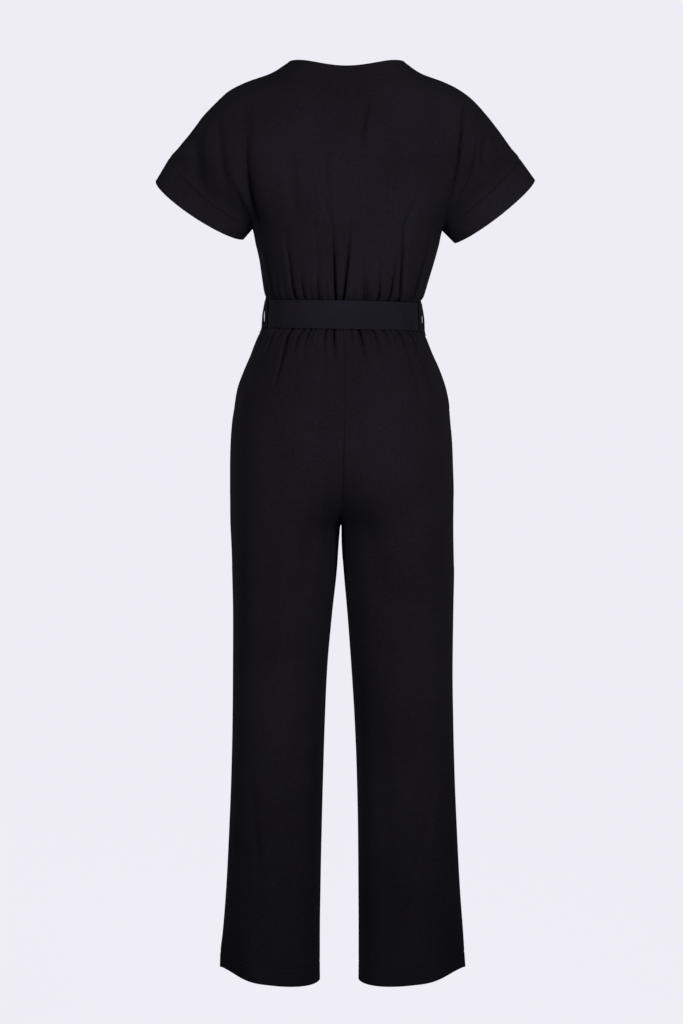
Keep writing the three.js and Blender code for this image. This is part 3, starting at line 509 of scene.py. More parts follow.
# %% Points of the bodice
# above the first height the body's depth is evened out over rows this far apart, so many up and so many down
EVEN_FROM, EVEN_STEP, EVEN_ROWS = -300, 2.4, 10
NEAR_ROWS = [(EVEN_STEP * k, 1 - abs(k) / (EVEN_ROWS + 1)) for k in range(-EVEN_ROWS, EVEN_ROWS + 1)]
ALL_WEIGHTS = sum(weight for _, weight in NEAR_ROWS)
# how fully sleeve and body blend, and how long half a ring is beside half its width
BLEND, BODICE_HALF_RING = 4, 1.45
# gathers and drapes fade over this share of the way to a side seam
BODICE_CALM = 0.08
# how low the neck lies at its middle, and the height where its dip starts
NECK_DIP, NECK_DIP_FROM = 13, -60
# the hanging cuff seam pulls the rows of a sleeve down from the first share on, and shapes them from the
# second on
SLEEVE_FROM, SLEEVE_END, HANG_CURVE = 0.3, 0.86, 1.5


def bodice_point(z, around, face, inset=0.0):
    """A point of the bodice. around is -1 at the right side seam, 0 at the middle and 1 at the left."""
    ring = bodice_ring(z)
    half = (ring["left"] + ring["right"]) / 2
    angle = clamp(around, -1, 1) * math.pi / 2
    x = (ring["left"] - ring["right"]) / 2 + half * math.sin(angle)
    side, outward = ("left", 1) if x > 0 else ("right", -1)
    body = body_depth(ring, x, face)
    if z > EVEN_FROM:
        near = sum(weight * body_depth(bodice_ring(z + step), x, face) for step, weight in NEAR_ROWS)
        body = lerp(body, near / ALL_WEIGHTS, (1 - abs(around) ** 6) * ease(z, EVEN_FROM, ARMPIT))
    line = sleeve_line(side)
    up = ((outward * x - line["low"]) * line["along"][0] + (z - ARMPIT) * line["along"][1]) / line["length"]
    tube = 0
    if z > ARMPIT:
        tube = min(CUFF_DEPTH * oval(up), body if z > CUFF_TOP else CUFF_DEPTH)
    y = (body ** BLEND + tube ** BLEND) ** (1 / BLEND)
    y *= 1 - seam_roll(half * (1 - abs(math.sin(angle)))) / CUFF_DEPTH
    normal = Vector((math.sin(angle) * ring[face], math.cos(angle) * half)).normalized()
    free = clamp((1 - abs(around)) / BODICE_CALM)
    sunk = inset + free * (
        gather_depth(GATHERS["bodice", face], around, z - CASING_TOP, half * BODICE_HALF_RING)
        + drape_depth(SLEEVE_DRAPES[face], x, z) + slack("bodice", x, y, z)
    )
    dip = NECK_DIP * ease(z, NECK_DIP_FROM, 0) * math.cos(angle) ** 4 if face == "back" else 0
    share = clamp((z - ARMPIT) / (CUFF_TOP - ARMPIT))
    hang = lerp(math.sin(math.pi * share) ** HANG_CURVE, ring["end"], ease(abs(around), SLEEVE_END, 1))
    bulge = CUFFS[side]["seam"][face] * hang * ease(abs(around), SLEEVE_FROM, 1)
    return tilt(
        x - normal.x * sunk + outward * line["down"][0] * bulge,
        (1 if face == "back" else -1) * max(y - normal.y * sunk, SEAM_GAP / 2),
        z - dip + line["down"][1] * bulge,
    )


# %% [markdown]
# ## Where the trousers lie
# Above the crotch the two halves share one ring and meet at the centre seam. The halves part a little lower
# down, and below the crotch each leg has a ring of its own.

# %% Points of the trousers
# how long half a ring is beside half its width
HALF_RING = 1.4
# gathers and drapes fade over these shares of the way to a seam
GATHER_CALM, DRAPE_CALM = 0.03, 0.12
# how much the seams dip, as shares of the bodice's seams
CENTRE_ROLL, SIDE_ROLL = 0.1, 0.5
# the height of the hem's stitches, and how deep and how far they pull the cloth in
HEM_STITCH, HEM_STITCH_DIP, HEM_STITCH_REACH = HEM + 27, 0.7, 1.4
# the legs are round down to this height, and from there to the hem their side seams are pressed ever flatter
PRESS_TOP, PRESS_CURVE, PRESS_END = -1330, 1.6, 0.8
# a pressed hem rises towards the side seam and drops towards the inside leg
HEM_RISE, HEM_DROP = 8, 11


@lru_cache(maxsize=None)
def trouser_ring(z, side, face):
    """What one height of a leg is made from: its seam, middle, half width, first angle and depth."""
    leg = z < CROTCH
    table = LEG_RINGS if leg else HIP_RINGS
    seam = 0 if leg else column(table, 6, z)
    outer = column(table, SIDE_COLUMN[side], z) - (1 if side == "left" else -1) * seam
    if leg:
        half = (outer - column(table, 5 if side == "left" else 6, z)) / 2
        start = math.pi
    else:
        half = outer / (1 + column(table, 5, z))
        start = math.acos(clamp((SEAM_GAP / 2 - (outer - half)) / half, -1, 1))
    return leg, seam, outer - half, half, start, column(table, FACE_COLUMN[face], z)


def trouser_point(z, around, side, face, inset=0.0):
    """A point of a trouser leg. around is 0 at the centre or inside leg seam and 1 at the side seam."""
    outward = 1 if side == "left" else -1
    leg, seam, middle, half, start, deep = trouser_ring(z, side, face)
    angle = start * (1 - around)
    normal = Vector((math.cos(angle) * deep, math.sin(angle) * half)).normalized()
    rough_x = seam + outward * (middle + half * math.cos(angle))
    free = clamp(min(around, 1 - around) / GATHER_CALM)
    wide_free = clamp(min(around, 1 - around) / DRAPE_CALM)
    centre_roll = seam_roll(half * HALF_RING * around) * CENTRE_ROLL
    sunk = inset + SIDE_ROLL * seam_roll(half * HALF_RING * (1 - around)) + (centre_roll if leg else 0)
    drop = CASING_LOW - z
    sunk += free * gather_depth(GATHERS["trouser", face], outward * around, drop, half * HALF_RING)
    sunk += wide_free * (drape_depth(LEG_DRAPES[face], rough_x, z) + slack("trouser", rough_x, deep, z))
    sunk += HEM_STITCH_DIP * math.exp(-((z - HEM_STITCH) / HEM_STITCH_REACH) ** 2)
    across = middle + half * math.cos(angle) - normal.x * sunk
    pressed = 1 - ease(z, HEM, PRESS_TOP)
    flatter = pressed * ease(math.cos(angle), 0, PRESS_END)
    section = math.sin(angle) * lerp(1, math.sin(angle) ** PRESS_CURVE, flatter)
    y = max(deep * section - normal.y * sunk - (0 if leg else centre_roll), SEAM_GAP / 2)
    slant = (HEM_RISE if math.cos(angle) > 0 else HEM_DROP) * math.cos(angle) * pressed
    x = seam + outward * (across if leg else max(across, SEAM_GAP / 2))
    return tilt(x, y if face == "back" else -y, z + slant)


# %% [markdown]
# ## Laying cloth
# `bmesh.ops.create_grid` gives the flat cut of a panel, and its own UV map says where each thread is. A
# function then says where every point of the cloth goes. The grid's columns run counter-clockwise seen from
# above and its rows run upwards, so the faces point out of the body. A Solidify modifier gives the wall its
# thickness inwards, and its rim closes every raw edge.

# %% Panels from grids
CLOTH = 0.9 * MM
# points nearer than this are merged
MERGED = 0.02 * MM


def levels(*stops):
    """Heights from the top to the bottom. Each stop is a height and the step to the next one, in mm."""
    heights = []
    for (top, step), (low, _) in zip(stops, stops[1:]):
        count = max(1, round((top - low) / step))
        heights += [lerp(top, low, i / count) for i in range(count)]
    return heights + [stops[-1][0]]


def lay_cloth(name, heights, columns, place, flat, thickness=CLOTH, material=None, tidy=None):
    """A panel. place takes a height and a share from 0 to 1 across, and gives a point in mm."""
    rows = len(heights) - 1
    bm = bmesh.new()
    bm.loops.layers.uv.new("cloth")
    bmesh.ops.create_grid(bm, x_segments=columns, y_segments=rows, size=0.5, calc_uvs=True)
    uv = bm.loops.layers.uv.active
    for face in bm.faces:
        for loop in face.loops:
            loop[uv].uv = ((loop.vert.co.x + 0.5) * flat[0], (loop.vert.co.y + 0.5) * flat[1])
    for vert in bm.verts:
        across = clamp(vert.co.x + 0.5)
        row = rows - round((vert.co.y + 0.5) * rows)
        vert.co = place(heights[row], across) * MM
    if tidy:
        tidy(bm)
    bmesh.ops.remove_doubles(bm, verts=bm.verts, dist=MERGED)
    return finish_cloth(name, bm, thickness, material)


def finish_cloth(name, bm, thickness, material):
    """Makes the object: smooth faces, its material, and a wall inwards."""
    for face in bm.faces:
        face.smooth = True
    mesh = bpy.data.meshes.new(name)
    bm.to_mesh(mesh)
    bm.free()
    if material:
        mesh.materials.append(material)
    piece = bpy.data.objects.new(name, mesh)
    bpy.context.scene.collection.objects.link(piece)
    if thickness:
        wall = piece.modifiers.new("wall", "SOLIDIFY")
        wall.thickness = thickness
        wall.offset = -1
        wall.use_even_offset = False
    return piece


def stands_for(piece, node):
    """The usual ending of a piece: it rides on the one body and stands for a solid, which is hidden."""
    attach(piece, "root")
    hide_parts(node)
    return piece


# %% [markdown]
# ## Black crepe
# Crepe is woven from tightly twisted polyester yarn, which pulls the cloth into a fine pebbled grain. It
# drinks light, so it is nearly black, with a slight violet cast and almost no shine. Its threads are about
# 0.25 mm apart. They are too fine for a picture of a whole garment, so they are drawn 1.1 mm apart, and the
# grain is drawn 2 mm wide. The belt is pressed double, so its crepe is a little smoother and lighter to the
# eye.

# %% Crepe materials
THREAD, GRAIN, RELIEF = 1.1 * MM, 2.0 * MM, 0.25 * MM
# a Wave texture of this Scale draws one band in a unit of its coordinates, which is one thread here
ONE_BAND = 0.32
# the dye changes this many times in a metre
DYE_PATCHES = 7
# how much the pebbles count in the relief, and the dye in the colour
PEBBLE_SHARE, DYE_SHARE = 0.7, 0.5
# the pattern is at its darkest up to here
DARK_UP_TO = 0.45
CREPE_SHEEN = "#cfcbe0"
CREPE_DARK = "#141217"
CREPE_LIGHT = "#232128"
BELT_DARK = "#17151b"
BELT_LIGHT = "#26242c"


def crepe(name, dark, light, roughness, bump):
    """Woven crepe: crossed threads, a pebbled grain, and slow changes of depth in its dye."""
    material, tree = new_material(name)
    place = add_node(tree, "ShaderNodeTexCoord")
    cloth = add_node(tree, "ShaderNodeMapping", {"Scale": (1 / THREAD, 1 / THREAD, 1)},
                     Vector=place.outputs["UV"])
    weave = add_node(tree, "ShaderNodeMath", {"operation": "MULTIPLY"})
    for i, way in enumerate(("X", "Y")):
        threads = add_node(tree, "ShaderNodeTexWave", {
            "bands_direction": way, "Scale": ONE_BAND, "Distortion": 1.6, "Detail": 2, "Detail Scale": 1.5,
        }, Vector=cloth.outputs["Vector"])
        tree.links.new(threads.outputs["Fac"], weave.inputs[i])
    pebble = add_node(tree, "ShaderNodeTexNoise", {"Scale": 1 / GRAIN, "Detail": 3, "Roughness": 0.6},
                      Vector=place.outputs["Object"])
    dye = add_node(tree, "ShaderNodeTexNoise", {"Scale": DYE_PATCHES, "Detail": 4, "Roughness": 0.55},
                   Vector=place.outputs["Object"])
    grain = add_node(tree, "ShaderNodeMath", {"operation": "MULTIPLY_ADD"})
    tree.links.new(pebble.outputs["Fac"], grain.inputs[0])
    grain.inputs[1].default_value = PEBBLE_SHARE
    tree.links.new(weave.outputs["Value"], grain.inputs[2])
    shade = add_node(tree, "ShaderNodeMath", {"operation": "MULTIPLY_ADD"})
    tree.links.new(dye.outputs["Fac"], shade.inputs[0])
    shade.inputs[1].default_value = DYE_SHARE
    tree.links.new(pebble.outputs["Fac"], shade.inputs[2])
    tone = add_node(tree, "ShaderNodeValToRGB", Fac=shade.outputs["Value"])
    tone.color_ramp.elements[0].position = DARK_UP_TO
    tone.color_ramp.elements[0].color = linear(dark)
    tone.color_ramp.elements[1].position = 1.0
    tone.color_ramp.elements[1].color = linear(light)
    relief = add_node(tree, "ShaderNodeBump", {"Strength": bump, "Distance": RELIEF},
                      Height=grain.outputs["Value"])
    shader = add_node(tree, "ShaderNodeBsdfPrincipled", {
        "Roughness": roughness, "IOR": 1.5, "Specular IOR Level": 0.06,
        "Sheen Weight": 0.01, "Sheen Roughness": 0.5, "Sheen Tint": linear(CREPE_SHEEN),
    }, Base_Color=tone.outputs["Color"], Normal=relief.outputs["Normal"])
    add_node(tree, "ShaderNodeOutputMaterial", Surface=shader.outputs["BSDF"])
    return material


body_crepe = crepe("black_polyester_crepe", CREPE_DARK, CREPE_LIGHT, roughness=0.86, bump=0.5)
belt_crepe = crepe("black_crepe_pressed_double", BELT_DARK, BELT_LIGHT, roughness=0.8, bump=0.45)
print("materials:", body_crepe.name, belt_crepe.name)

# %% [markdown]
# ## The bodice back
# One wide panel holds the back and the backs of both sleeves. Its top rows are close together, because the
# shoulder is nearly level there.

# %% Bodice back
SLEEVE_ROWS, BODICE_COLUMNS = 40, 300
SLEEVE_SHARES = [(1 - math.cos(math.pi * i / SLEEVE_ROWS)) / 2 for i in range(SLEEVE_ROWS)]
SLEEVE_LEVELS = [lerp(CUFF_TOP, ARMPIT, share) for share in SLEEVE_SHARES]
LOWER_LEVELS = SLEEVE_LEVELS + levels((ARMPIT, 2.6), (CASING_TOP + SEAM_GAP, 0))
BODICE_LEVELS = levels((0, 1.3), (-46, 3.2), (CUFF_TOP, 0))[:-1] + LOWER_LEVELS
BODICE_BACK_FLAT = (0.59, 0.375)


def back_place(z, across):
    """The panel runs from the wearer's left side seam to the right one."""
    return bodice_point(z, 1 - 2 * across, "back")


bodice_back = stands_for(
    lay_cloth("bodice_back_cloth", BODICE_LEVELS, BODICE_COLUMNS, back_place, BODICE_BACK_FLAT,
              material=body_crepe),
    "bodice_back")
print("bodice back:", len(bodice_back.data.polygons), "faces")

# %% [markdown]
# ## The crossed fronts
# The two fronts cross in a V, the wearer's right over the left, and both end in the waist seam. The under
# front lies a little deeper where the upper one covers it.

# %% Bodice fronts
FRONT_FLAT, FRONT_COLUMNS = (0.39, 0.375), 130
# how far past the middle each front reaches at the waist, and how its edge curves on the way there
CROSS_REACH, NECK_CURVE = 68, 0.9
# how much deeper the under front lies, how far past the upper edge it stays so, and how far it takes to rise
LAP, LAP_FLAT, LAP_RAMP = 3.4, 13, 22


@lru_cache(maxsize=None)
def neck_edge(z, side):
    """Where the edge of a crossed front lies: its x, and the share round the ring."""
    outward = 1 if side == "left" else -1
    run = (z / CASING_TOP) ** NECK_CURVE
    x = outward * lerp(BODICE_RINGS[0][SIDE_COLUMN[side]], -CROSS_REACH, run)
    ring = bodice_ring(z)
    sine = clamp((x - (ring["left"] - ring["right"]) / 2) / ((ring["left"] + ring["right"]) / 2), -1, 1)
    return x, math.asin(sine) * 2 / math.pi


def front_place(side):
    """The place function of one front. The left one is the under front."""
    def place(z, across):
        edge = neck_edge(z, side)[1]
        around = lerp(edge, 1, across) if side == "left" else lerp(-1, edge, across)
        inset = 0
        if side == "left":
            x = bodice_point(z, around, "front").x
            upper = neck_edge(z, "right")[0]
            inset = LAP * (1 - ease(x, upper + LAP_FLAT, upper + LAP_FLAT + LAP_RAMP))
        return bodice_point(z, around, "front", inset)
    return place


for side in ("left", "right"):
    piece = stands_for(
        lay_cloth(f"bodice_front_{side}_cloth", BODICE_LEVELS, FRONT_COLUMNS, front_place(side), FRONT_FLAT,
                  material=body_crepe),
        f"bodice_front_{side}")
    print(piece.name, len(piece.data.polygons), "faces")

# %% [markdown]
# ## The cuffs
# Each sleeve ends in a deep band, sewn on along a slanting seam that hangs lower at the back.

# %% Cuffs
CUFF_WALL = 1.2 * MM
# the rows of a cuff crowd towards its seam, and its depth grows a little towards its edge
CUFF_ROWS, CUFF_CROWDING, CUFF_FLARE = 22, 1.5, 3
CUFF_RUNS = [(i / CUFF_ROWS) ** CUFF_CROWDING for i in range(CUFF_ROWS + 1)]
# the first row of a cuff is tucked up and in behind the end of the sleeve, so no light comes through the seam
TUCK_UP, TUCK_IN = 1.8, 1.4


def cuff_place(side):
    """The place function of one cuff. run is 0 at its seam and 1 at its edge."""
    outward = 1 if side == "left" else -1
    cut, line = CUFFS[side], sleeve_line(side)

    def place(run, across):
        angle = across * 2 * math.pi if side == "left" else math.pi - across * 2 * math.pi
        angle = angle % (2 * math.pi)
        face = "back" if math.sin(angle) > 0 else "front"
        share = (1 - math.cos(angle)) / 2
        tucked = 1 if run == 0 else 0
        bulge = SEAM_GAP + lerp(cut["seam"][face], cut["edge"][face], run) * abs(math.sin(angle))
        bulge -= TUCK_UP * tucked
        x = lerp(lerp(line["low"], line["top"], share), lerp(cut["low"][0], cut["tip"][0], share), run)
        z = lerp(lerp(ARMPIT, CUFF_TOP, share), lerp(cut["low"][1], cut["tip"][1], share), run)
        deep = CUFF_DEPTH + CUFF_FLARE * run - seam_roll(run * CUFF_WIDTH) - TUCK_IN * tucked
        y = deep * math.sin(angle)
        return tilt(outward * (x + line["down"][0] * bulge), y, z + line["down"][1] * bulge)
    return place


CUFF_FLAT = {"left": (0.37, 0.038), "right": (0.37, 0.044)}
for side in ("left", "right"):
    piece = stands_for(
        lay_cloth(f"cuff_{side}_cloth", CUFF_RUNS, 2 * SLEEVE_ROWS, cuff_place(side), CUFF_FLAT[side],
                  thickness=CUFF_WALL, material=body_crepe),
        f"sleeve_cuff_{side}")
    print(piece.name, len(piece.data.polygons), "faces")

# %% [markdown]
# ## The trousers
# Four panels, gathered into the casing, fall straight from the hip. The fronts are cut away at a slant for
# the pockets. At the crotch the rows change from one shared ring to two, so the rows near it are smoothed.

# %% Trouser panels
TROUSER_LEVELS = levels((CASING_LOW - SEAM_GAP, 1.8), (-425, 2.6), (-560, 4), (-710, 4), (-714, 5), (-800, 8),
                        (-1398, 1.2), (-1411, 3), (HEM, 0))
TROUSER_COLUMNS = 128
# the width of the pocket mouth's slant at the waist, its low end, and how far and near its edge it gapes
POCKET_WIDTH, POCKET_LOW, POCKET_GAPE, GAPE_REACH = 30, -535, 3, 0.12
# in metres, the heights between which the crotch is smoothed, and how often
CROTCH_NEAR, CROTCH_ROUNDS = (-0.775, -0.665), 24
TROUSER_FLAT = {"back": (0.275, 1.045), "front": (0.262, 1.035)}


@lru_cache(maxsize=None)
def pocket_edge(z, side):
    """Where the pocket mouth lies at a height, as the share round the ring."""
    width = POCKET_WIDTH * (z - POCKET_LOW) / (CASING_LOW - POCKET_LOW)
    return 1 - width / (column(HIP_RINGS, SIDE_COLUMN[side], z) * HALF_RING)


def panel_place(side, face):
    """The place function of one trouser panel. A front ends at its pocket mouth, which gapes a little."""
    def place(z, across):
        pocket = face == "front" and z > POCKET_LOW
        end = pocket_edge(z, side) if pocket else 1
        around = end * (across if (side == "left") == (face == "front") else 1 - across)
        inset = 0
        if pocket:
            gape = POCKET_GAPE * math.sin(math.pi * (z - POCKET_LOW) / (CASING_LOW - POCKET_LOW))
            inset = -gape * ease(around, end - GAPE_REACH, end)
        return trouser_point(z, around, side, face, inset)
    return place


def even_crotch(bm):
    """Smooths the rows where the shared ring becomes two, and leaves the edges in place."""
    low, high = CROTCH_NEAR
    near = [v for v in bm.verts if low < v.co.z < high and not v.is_boundary]
    for _ in range(CROTCH_ROUNDS):
        bmesh.ops.smooth_vert(bm, verts=near, factor=0.5, use_axis_x=True, use_axis_y=True, use_axis_z=True)


for side in ("left", "right"):
    for face in ("back", "front"):
        piece = stands_for(
            lay_cloth(f"trouser_{face}_{side}_cloth", TROUSER_LEVELS, TROUSER_COLUMNS,
                      panel_place(side, face), TROUSER_FLAT[face], material=body_crepe, tidy=even_crotch),
            f"trouser_{face}_{side}")
        print(piece.name, len(piece.data.polygons), "faces")

# %% [markdown]
# ## Pocket facings
# A slant pocket shows a strip of the same cloth behind its mouth. Only that strip is made.

# %% Pocket facings
FACING_LEVELS = levels((CASING_LOW - SEAM_GAP, 2), (-425, 4), (-546, 0))
FACING_FLAT, FACING_COLUMNS = (0.058, 0.145), 24
# how far the facing goes on past the pocket mouth and behind the side seam
FACING_PAST, FACING_BACK = 14, 7
# how deep it lies under the panels, and how much deeper where it meets the waist seam
FACING_UNDER, FACING_TUCK = 2.8, 3.4


def facing_place(side):
    """The place function of one facing, which lies under the front and goes on behind the side seam."""
    def place(z, across):
        reach = column(HIP_RINGS, SIDE_COLUMN[side], z) * HALF_RING
        forward = 1 - pocket_edge(max(z, POCKET_LOW), side) + FACING_PAST / reach
        offset = lerp(-forward, FACING_BACK / reach, across if side == "left" else 1 - across)
        under = FACING_UNDER + FACING_TUCK * ease(z, CASING_LOW - 14, CASING_LOW - 4)
        point = trouser_point(z, 1 - abs(offset), side, "front" if offset < 0 else "back", under)
        if abs(offset) < 1e-6:
            point.y = 0
        return point
    return place


for side in ("left", "right"):
    piece = stands_for(
        lay_cloth(f"pocket_facing_{side}_cloth", FACING_LEVELS, FACING_COLUMNS, facing_place(side),
                  FACING_FLAT, material=body_crepe),
        f"pocket_facing_{side}")

# %% [markdown]
# ## Casing and belt
# The elastic casing is a band of the body's cloth under the belt. The belt is the same cloth folded double
# and pressed flat, so it stands a little stiffer, with a slow wave along it, a low ridge over each side
# seam, where a loop holds it, and a pressed crease beside each ridge.

# %% Bands round the waist
BELT_TOP, BELT_LOW = -364.4, -407.4
# how far the belt stands off the casing, and how thick its two layers are
BELT_CLEAR, DOUBLE_CLOTH = 1.1, 2.2
CASING_COLUMNS, BELT_COLUMNS = 480, 840
CASING_WALL, BELT_WALL = 1.6 * MM, 1.8 * MM
# how many ripples the elastic makes round the waist, and how deep they are
ELASTIC_RIPPLES, RIPPLE_DEPTH = 96, 0.8


def band_place(outside, ripple, trench=None):
    """The place function of a band that stands outside mm off the waist, less its ripple and its trench."""
    left, right, back, front = (column(HIP_RINGS, k, CASING_LOW) for k in (LEFT, RIGHT, BACK, FRONT))
    seam = column(HIP_RINGS, 6, CASING_LOW)

    def place(z, across):
        angle = across * 2 * math.pi
        out = outside - ripple(z, angle)
        y = ((back if math.sin(angle) > 0 else front) + out) * math.sin(angle)
        if trench:
            y -= trench(z, angle)
        return tilt(seam + ((left + right) / 2 + out) * math.cos(angle), y, z)
    return place


def elastic_ripple(z, angle):
    """The small, uneven ripples of the elastic. They fade towards both edges of the casing."""
    middle = 1 - ((z - (CASING_TOP + CASING_LOW) / 2) / ((CASING_TOP - CASING_LOW) / 2)) ** 2
    ripple = 0.5 + 0.5 * math.sin(ELASTIC_RIPPLES * angle + 1.5 * math.sin(7 * angle))
    return RIPPLE_DEPTH * ripple * clamp(middle)


# %% Waves of the belt
# height in mm, how many go round the waist, and how many mm up the belt shift them by a radian
BELT_WAVES = ((0.35, 3, 25), (0.3, 8, 40))
# how far the belt's edges are rounded off, and over what width
EDGE_ROUND, EDGE_REACH = 0.5, 1.4
# angles from the side seam: where the ridge starts to fall and where it ends, and its lean over its height
RIDGE, RIDGE_FOOT, CREASE_LEAN = (math.radians(a) for a in (7, 11, 3.4))
# the angle of the crease, half its width, and the share of it that is the flat bottom
CREASE, CREASE_HALF, CREASE_BOTTOM = math.radians(13.4), math.radians(2.1), 0.35
RIDGE_HEIGHT, CREASE_DEPTH = 2.0, 7.5


def from_side(z, angle):
    """The angle from the nearer side seam, along the lean of the crease."""
    turn = angle % math.pi
    return min(turn, math.pi - turn) - CREASE_LEAN * (z - BELT_LOW) / (BELT_TOP - BELT_LOW)


def belt_wave(z, angle):
    """A slow wave along the belt, and a ridge over each side seam, where the loop holds it."""
    wave = sum(high * (0.5 + 0.5 * math.sin(count * angle + z / lean)) for high, count, lean in BELT_WAVES)
    flat = ease(from_side(z, angle), RIDGE, RIDGE_FOOT)
    edge = min(BELT_TOP - z, z - BELT_LOW)
    return wave * flat - RIDGE_HEIGHT * (1 - flat) + EDGE_ROUND * (1 - ease(edge, 0, EDGE_REACH))


def belt_crease(z, angle):
    """How deep the pressed crease beside the ridge runs in, seen from behind. The front has none."""
    off = abs(from_side(z, angle) - CREASE) / CREASE_HALF
    return CREASE_DEPTH * (1 - ease(off, CREASE_BOTTOM, 1)) if angle < math.pi else 0


# %% Casing and belt band
CASING_FLAT, BELT_FLAT = (0.69, 0.038), (0.7, 0.0435)
CASING_LEVELS = levels((CASING_TOP, 3.8), (CASING_LOW, 0))
BELT_LEVELS = levels((BELT_TOP, 0.6), (BELT_TOP - 2, 2.4), (BELT_LOW + 2, 0.6), (BELT_LOW, 0))
casing = stands_for(
    lay_cloth("waist_casing_cloth", CASING_LEVELS, CASING_COLUMNS, band_place(0, elastic_ripple), CASING_FLAT,
              thickness=CASING_WALL, material=body_crepe),
    "waist_casing")
belt = stands_for(
    lay_cloth("belt_band_cloth", BELT_LEVELS, BELT_COLUMNS,
              band_place(BELT_CLEAR + DOUBLE_CLOTH, belt_wave, belt_crease), BELT_FLAT, thickness=BELT_WALL,
              material=belt_crepe),
    "belt_band")
print("casing and belt:", len(casing.data.polygons), len(belt.data.polygons), "faces")

# %% [markdown]
# ## Belt ends, loops and knot
# The belt is tied in front. Its two ends hang flat from the knot, over the gathers.

# %% Belt ends
# where the middle of each end starts and stops, how long it hangs, and how far it stays clear of the trousers
BELT_ENDS = {
    "left": {"top": 9, "low": 30, "length": 262, "clear": 7},
    "right": {"top": -9, "low": -24, "length": 236, "clear": 1.8},
}
KNOT_HALF_HEIGHT = 25
END_ROWS, END_COLUMNS = 90, 18
# an end's width at the knot and further down, and the share of its length where it is fully spread
END_NECK, END_WIDTH, END_SPREAD = 20, 42, 0.35
# how high its middle is bowed, how deep its small creases by the knot are, how far they run, and its sway
END_BOW, END_CREASE, END_CREASE_RUN, END_SWAY = 2.5, 1.1, 0.3, 0.44
# an end comes off the knot on a slope of this many mm, and from about this height down it lies on the trousers
END_SLOPE, END_RESTS = 40, -480


def end_place(end):
    """The place function of one hanging end. run is 0 at the knot and 1 at its tip."""
    top_z = (BELT_TOP + BELT_LOW) / 2 - KNOT_HALF_HEIGHT - 0.5
    rest = column(HIP_RINGS, FRONT, END_RESTS)

    def place(run, across):
        z = top_z - run * end["length"]
        width = lerp(END_NECK, END_WIDTH, ease(run, 0, END_SPREAD))
        centre = lerp(end["top"], end["low"], run)
        out = max(column(HIP_RINGS, FRONT, z), rest - END_SLOPE * (1 - run))
        side = 2 * across - 1
        crease = END_CREASE * (1 - ease(run, 0, END_CREASE_RUN)) * math.cos(2.5 * math.pi * side)
        sway = END_SWAY * math.sin(7 * run + end["top"]) * (1 - run)
        y = out + end["clear"] + DOUBLE_CLOTH + END_BOW * (1 - side * side) - abs(crease) + sway
        return tilt(centre + side * width / 2, -y, z)
    return place


END_RUNS = [i / END_ROWS for i in range(END_ROWS + 1)]
for side, end in BELT_ENDS.items():
    flat = (END_WIDTH * MM, end["length"] * MM)
    piece = stands_for(
        lay_cloth(f"belt_end_{side}_cloth", END_RUNS, END_COLUMNS, end_place(end), flat,
                  thickness=BELT_WALL, material=belt_crepe),
        f"belt_end_{side}")

# %% [markdown]
# A loop is a narrow folded strip. Its ends are turned under and sewn down, so they are thick, and between
# them the thin middle bows out and leaves a slit of daylight beside the belt. A strip with a changing
# thickness is laid as a flat tube: its grid goes round the section once, and its two ends are then closed.

# %% Belt loops
# height, then how far the outside stands off the ring at the left and right, and the thickness there
LOOP_LINE = (
    (-358.8, 3.3, 3.3, 2), (-362.2, 4, 3.9, 4), (-364.4, 4.6, 4.4, 4), (-368, 5.6, 5.4, 2.8),
    (-372.7, 6.6, 6.4, 2.7), (-377.3, 7.4, 7.2, 2.5), (-382, 8.3, 8, 2.6), (-386.6, 8.9, 8.7, 2.9),
    (-391.3, 9.3, 9.1, 3.3), (-396, 9.6, 9.3, 4), (-400.6, 9.9, 9.5, 5), (-405.2, 10.1, 9.6, 6.6),
    (-407.6, 10.6, 9.9, 8.6), (-409.8, 11.3, 10.3, 8), (-414, 13.6, 11.6, 5),
)
LOOP_LEVELS = levels((LOOP_LINE[0][0], 1), (LOOP_LINE[-1][0], 0))
LOOP_HALF_WIDTH, LOOP_SECTION = 3.5, 20
# how square the section of the tube is
LOOP_SQUARE = 0.7
# the cut of a loop, and of the tube's grid, which goes once round the section
LOOP_FLAT, LOOP_GRID = (0.01, 0.054), (0.018, 0.054)


def loop_place(side):
    """The place function of one loop. across goes once round its section."""
    outward = 1 if side == "left" else -1
    ring = HIP_RINGS[0][SIDE_COLUMN[side]]

    def place(z, across):
        angle = across * 2 * math.pi
        flat_x, flat_y = math.cos(angle), math.sin(angle)
        stretch = max(abs(flat_x), abs(flat_y)) ** LOOP_SQUARE
        thick = column(LOOP_LINE, 3, z)
        out = column(LOOP_LINE, SIDE_COLUMN[side], z) - thick * (0.5 - 0.5 * flat_x / stretch)
        return tilt(outward * (ring + out), outward * LOOP_HALF_WIDTH * flat_y / stretch, z)
    return place


def close_ends(bm):
    """Joins the grid's two long edges into a tube and covers its ends."""
    bmesh.ops.remove_doubles(bm, verts=bm.verts, dist=MERGED)
    bmesh.ops.holes_fill(bm, edges=[e for e in bm.edges if e.is_boundary], sides=LOOP_SECTION)


for side in ("left", "right"):
    piece = stands_for(
        lay_cloth(f"belt_loop_{side}_cloth", LOOP_LEVELS, LOOP_SECTION, loop_place(side), LOOP_GRID,
                  thickness=None, material=belt_crepe, tidy=close_ends),
        f"belt_loop_{side}")

# %% [markdown]
# ## The knot
# The belt is tied once at the front. What shows is one turn of the belt, bunched to half its width, wrapped
# from below the waist up over the other end. It is laid as a short tube that lies sideways: bunched folds
# run along the turn, so they are ridges round the tube, and both ends of the tube narrow to where the belt
# runs in.

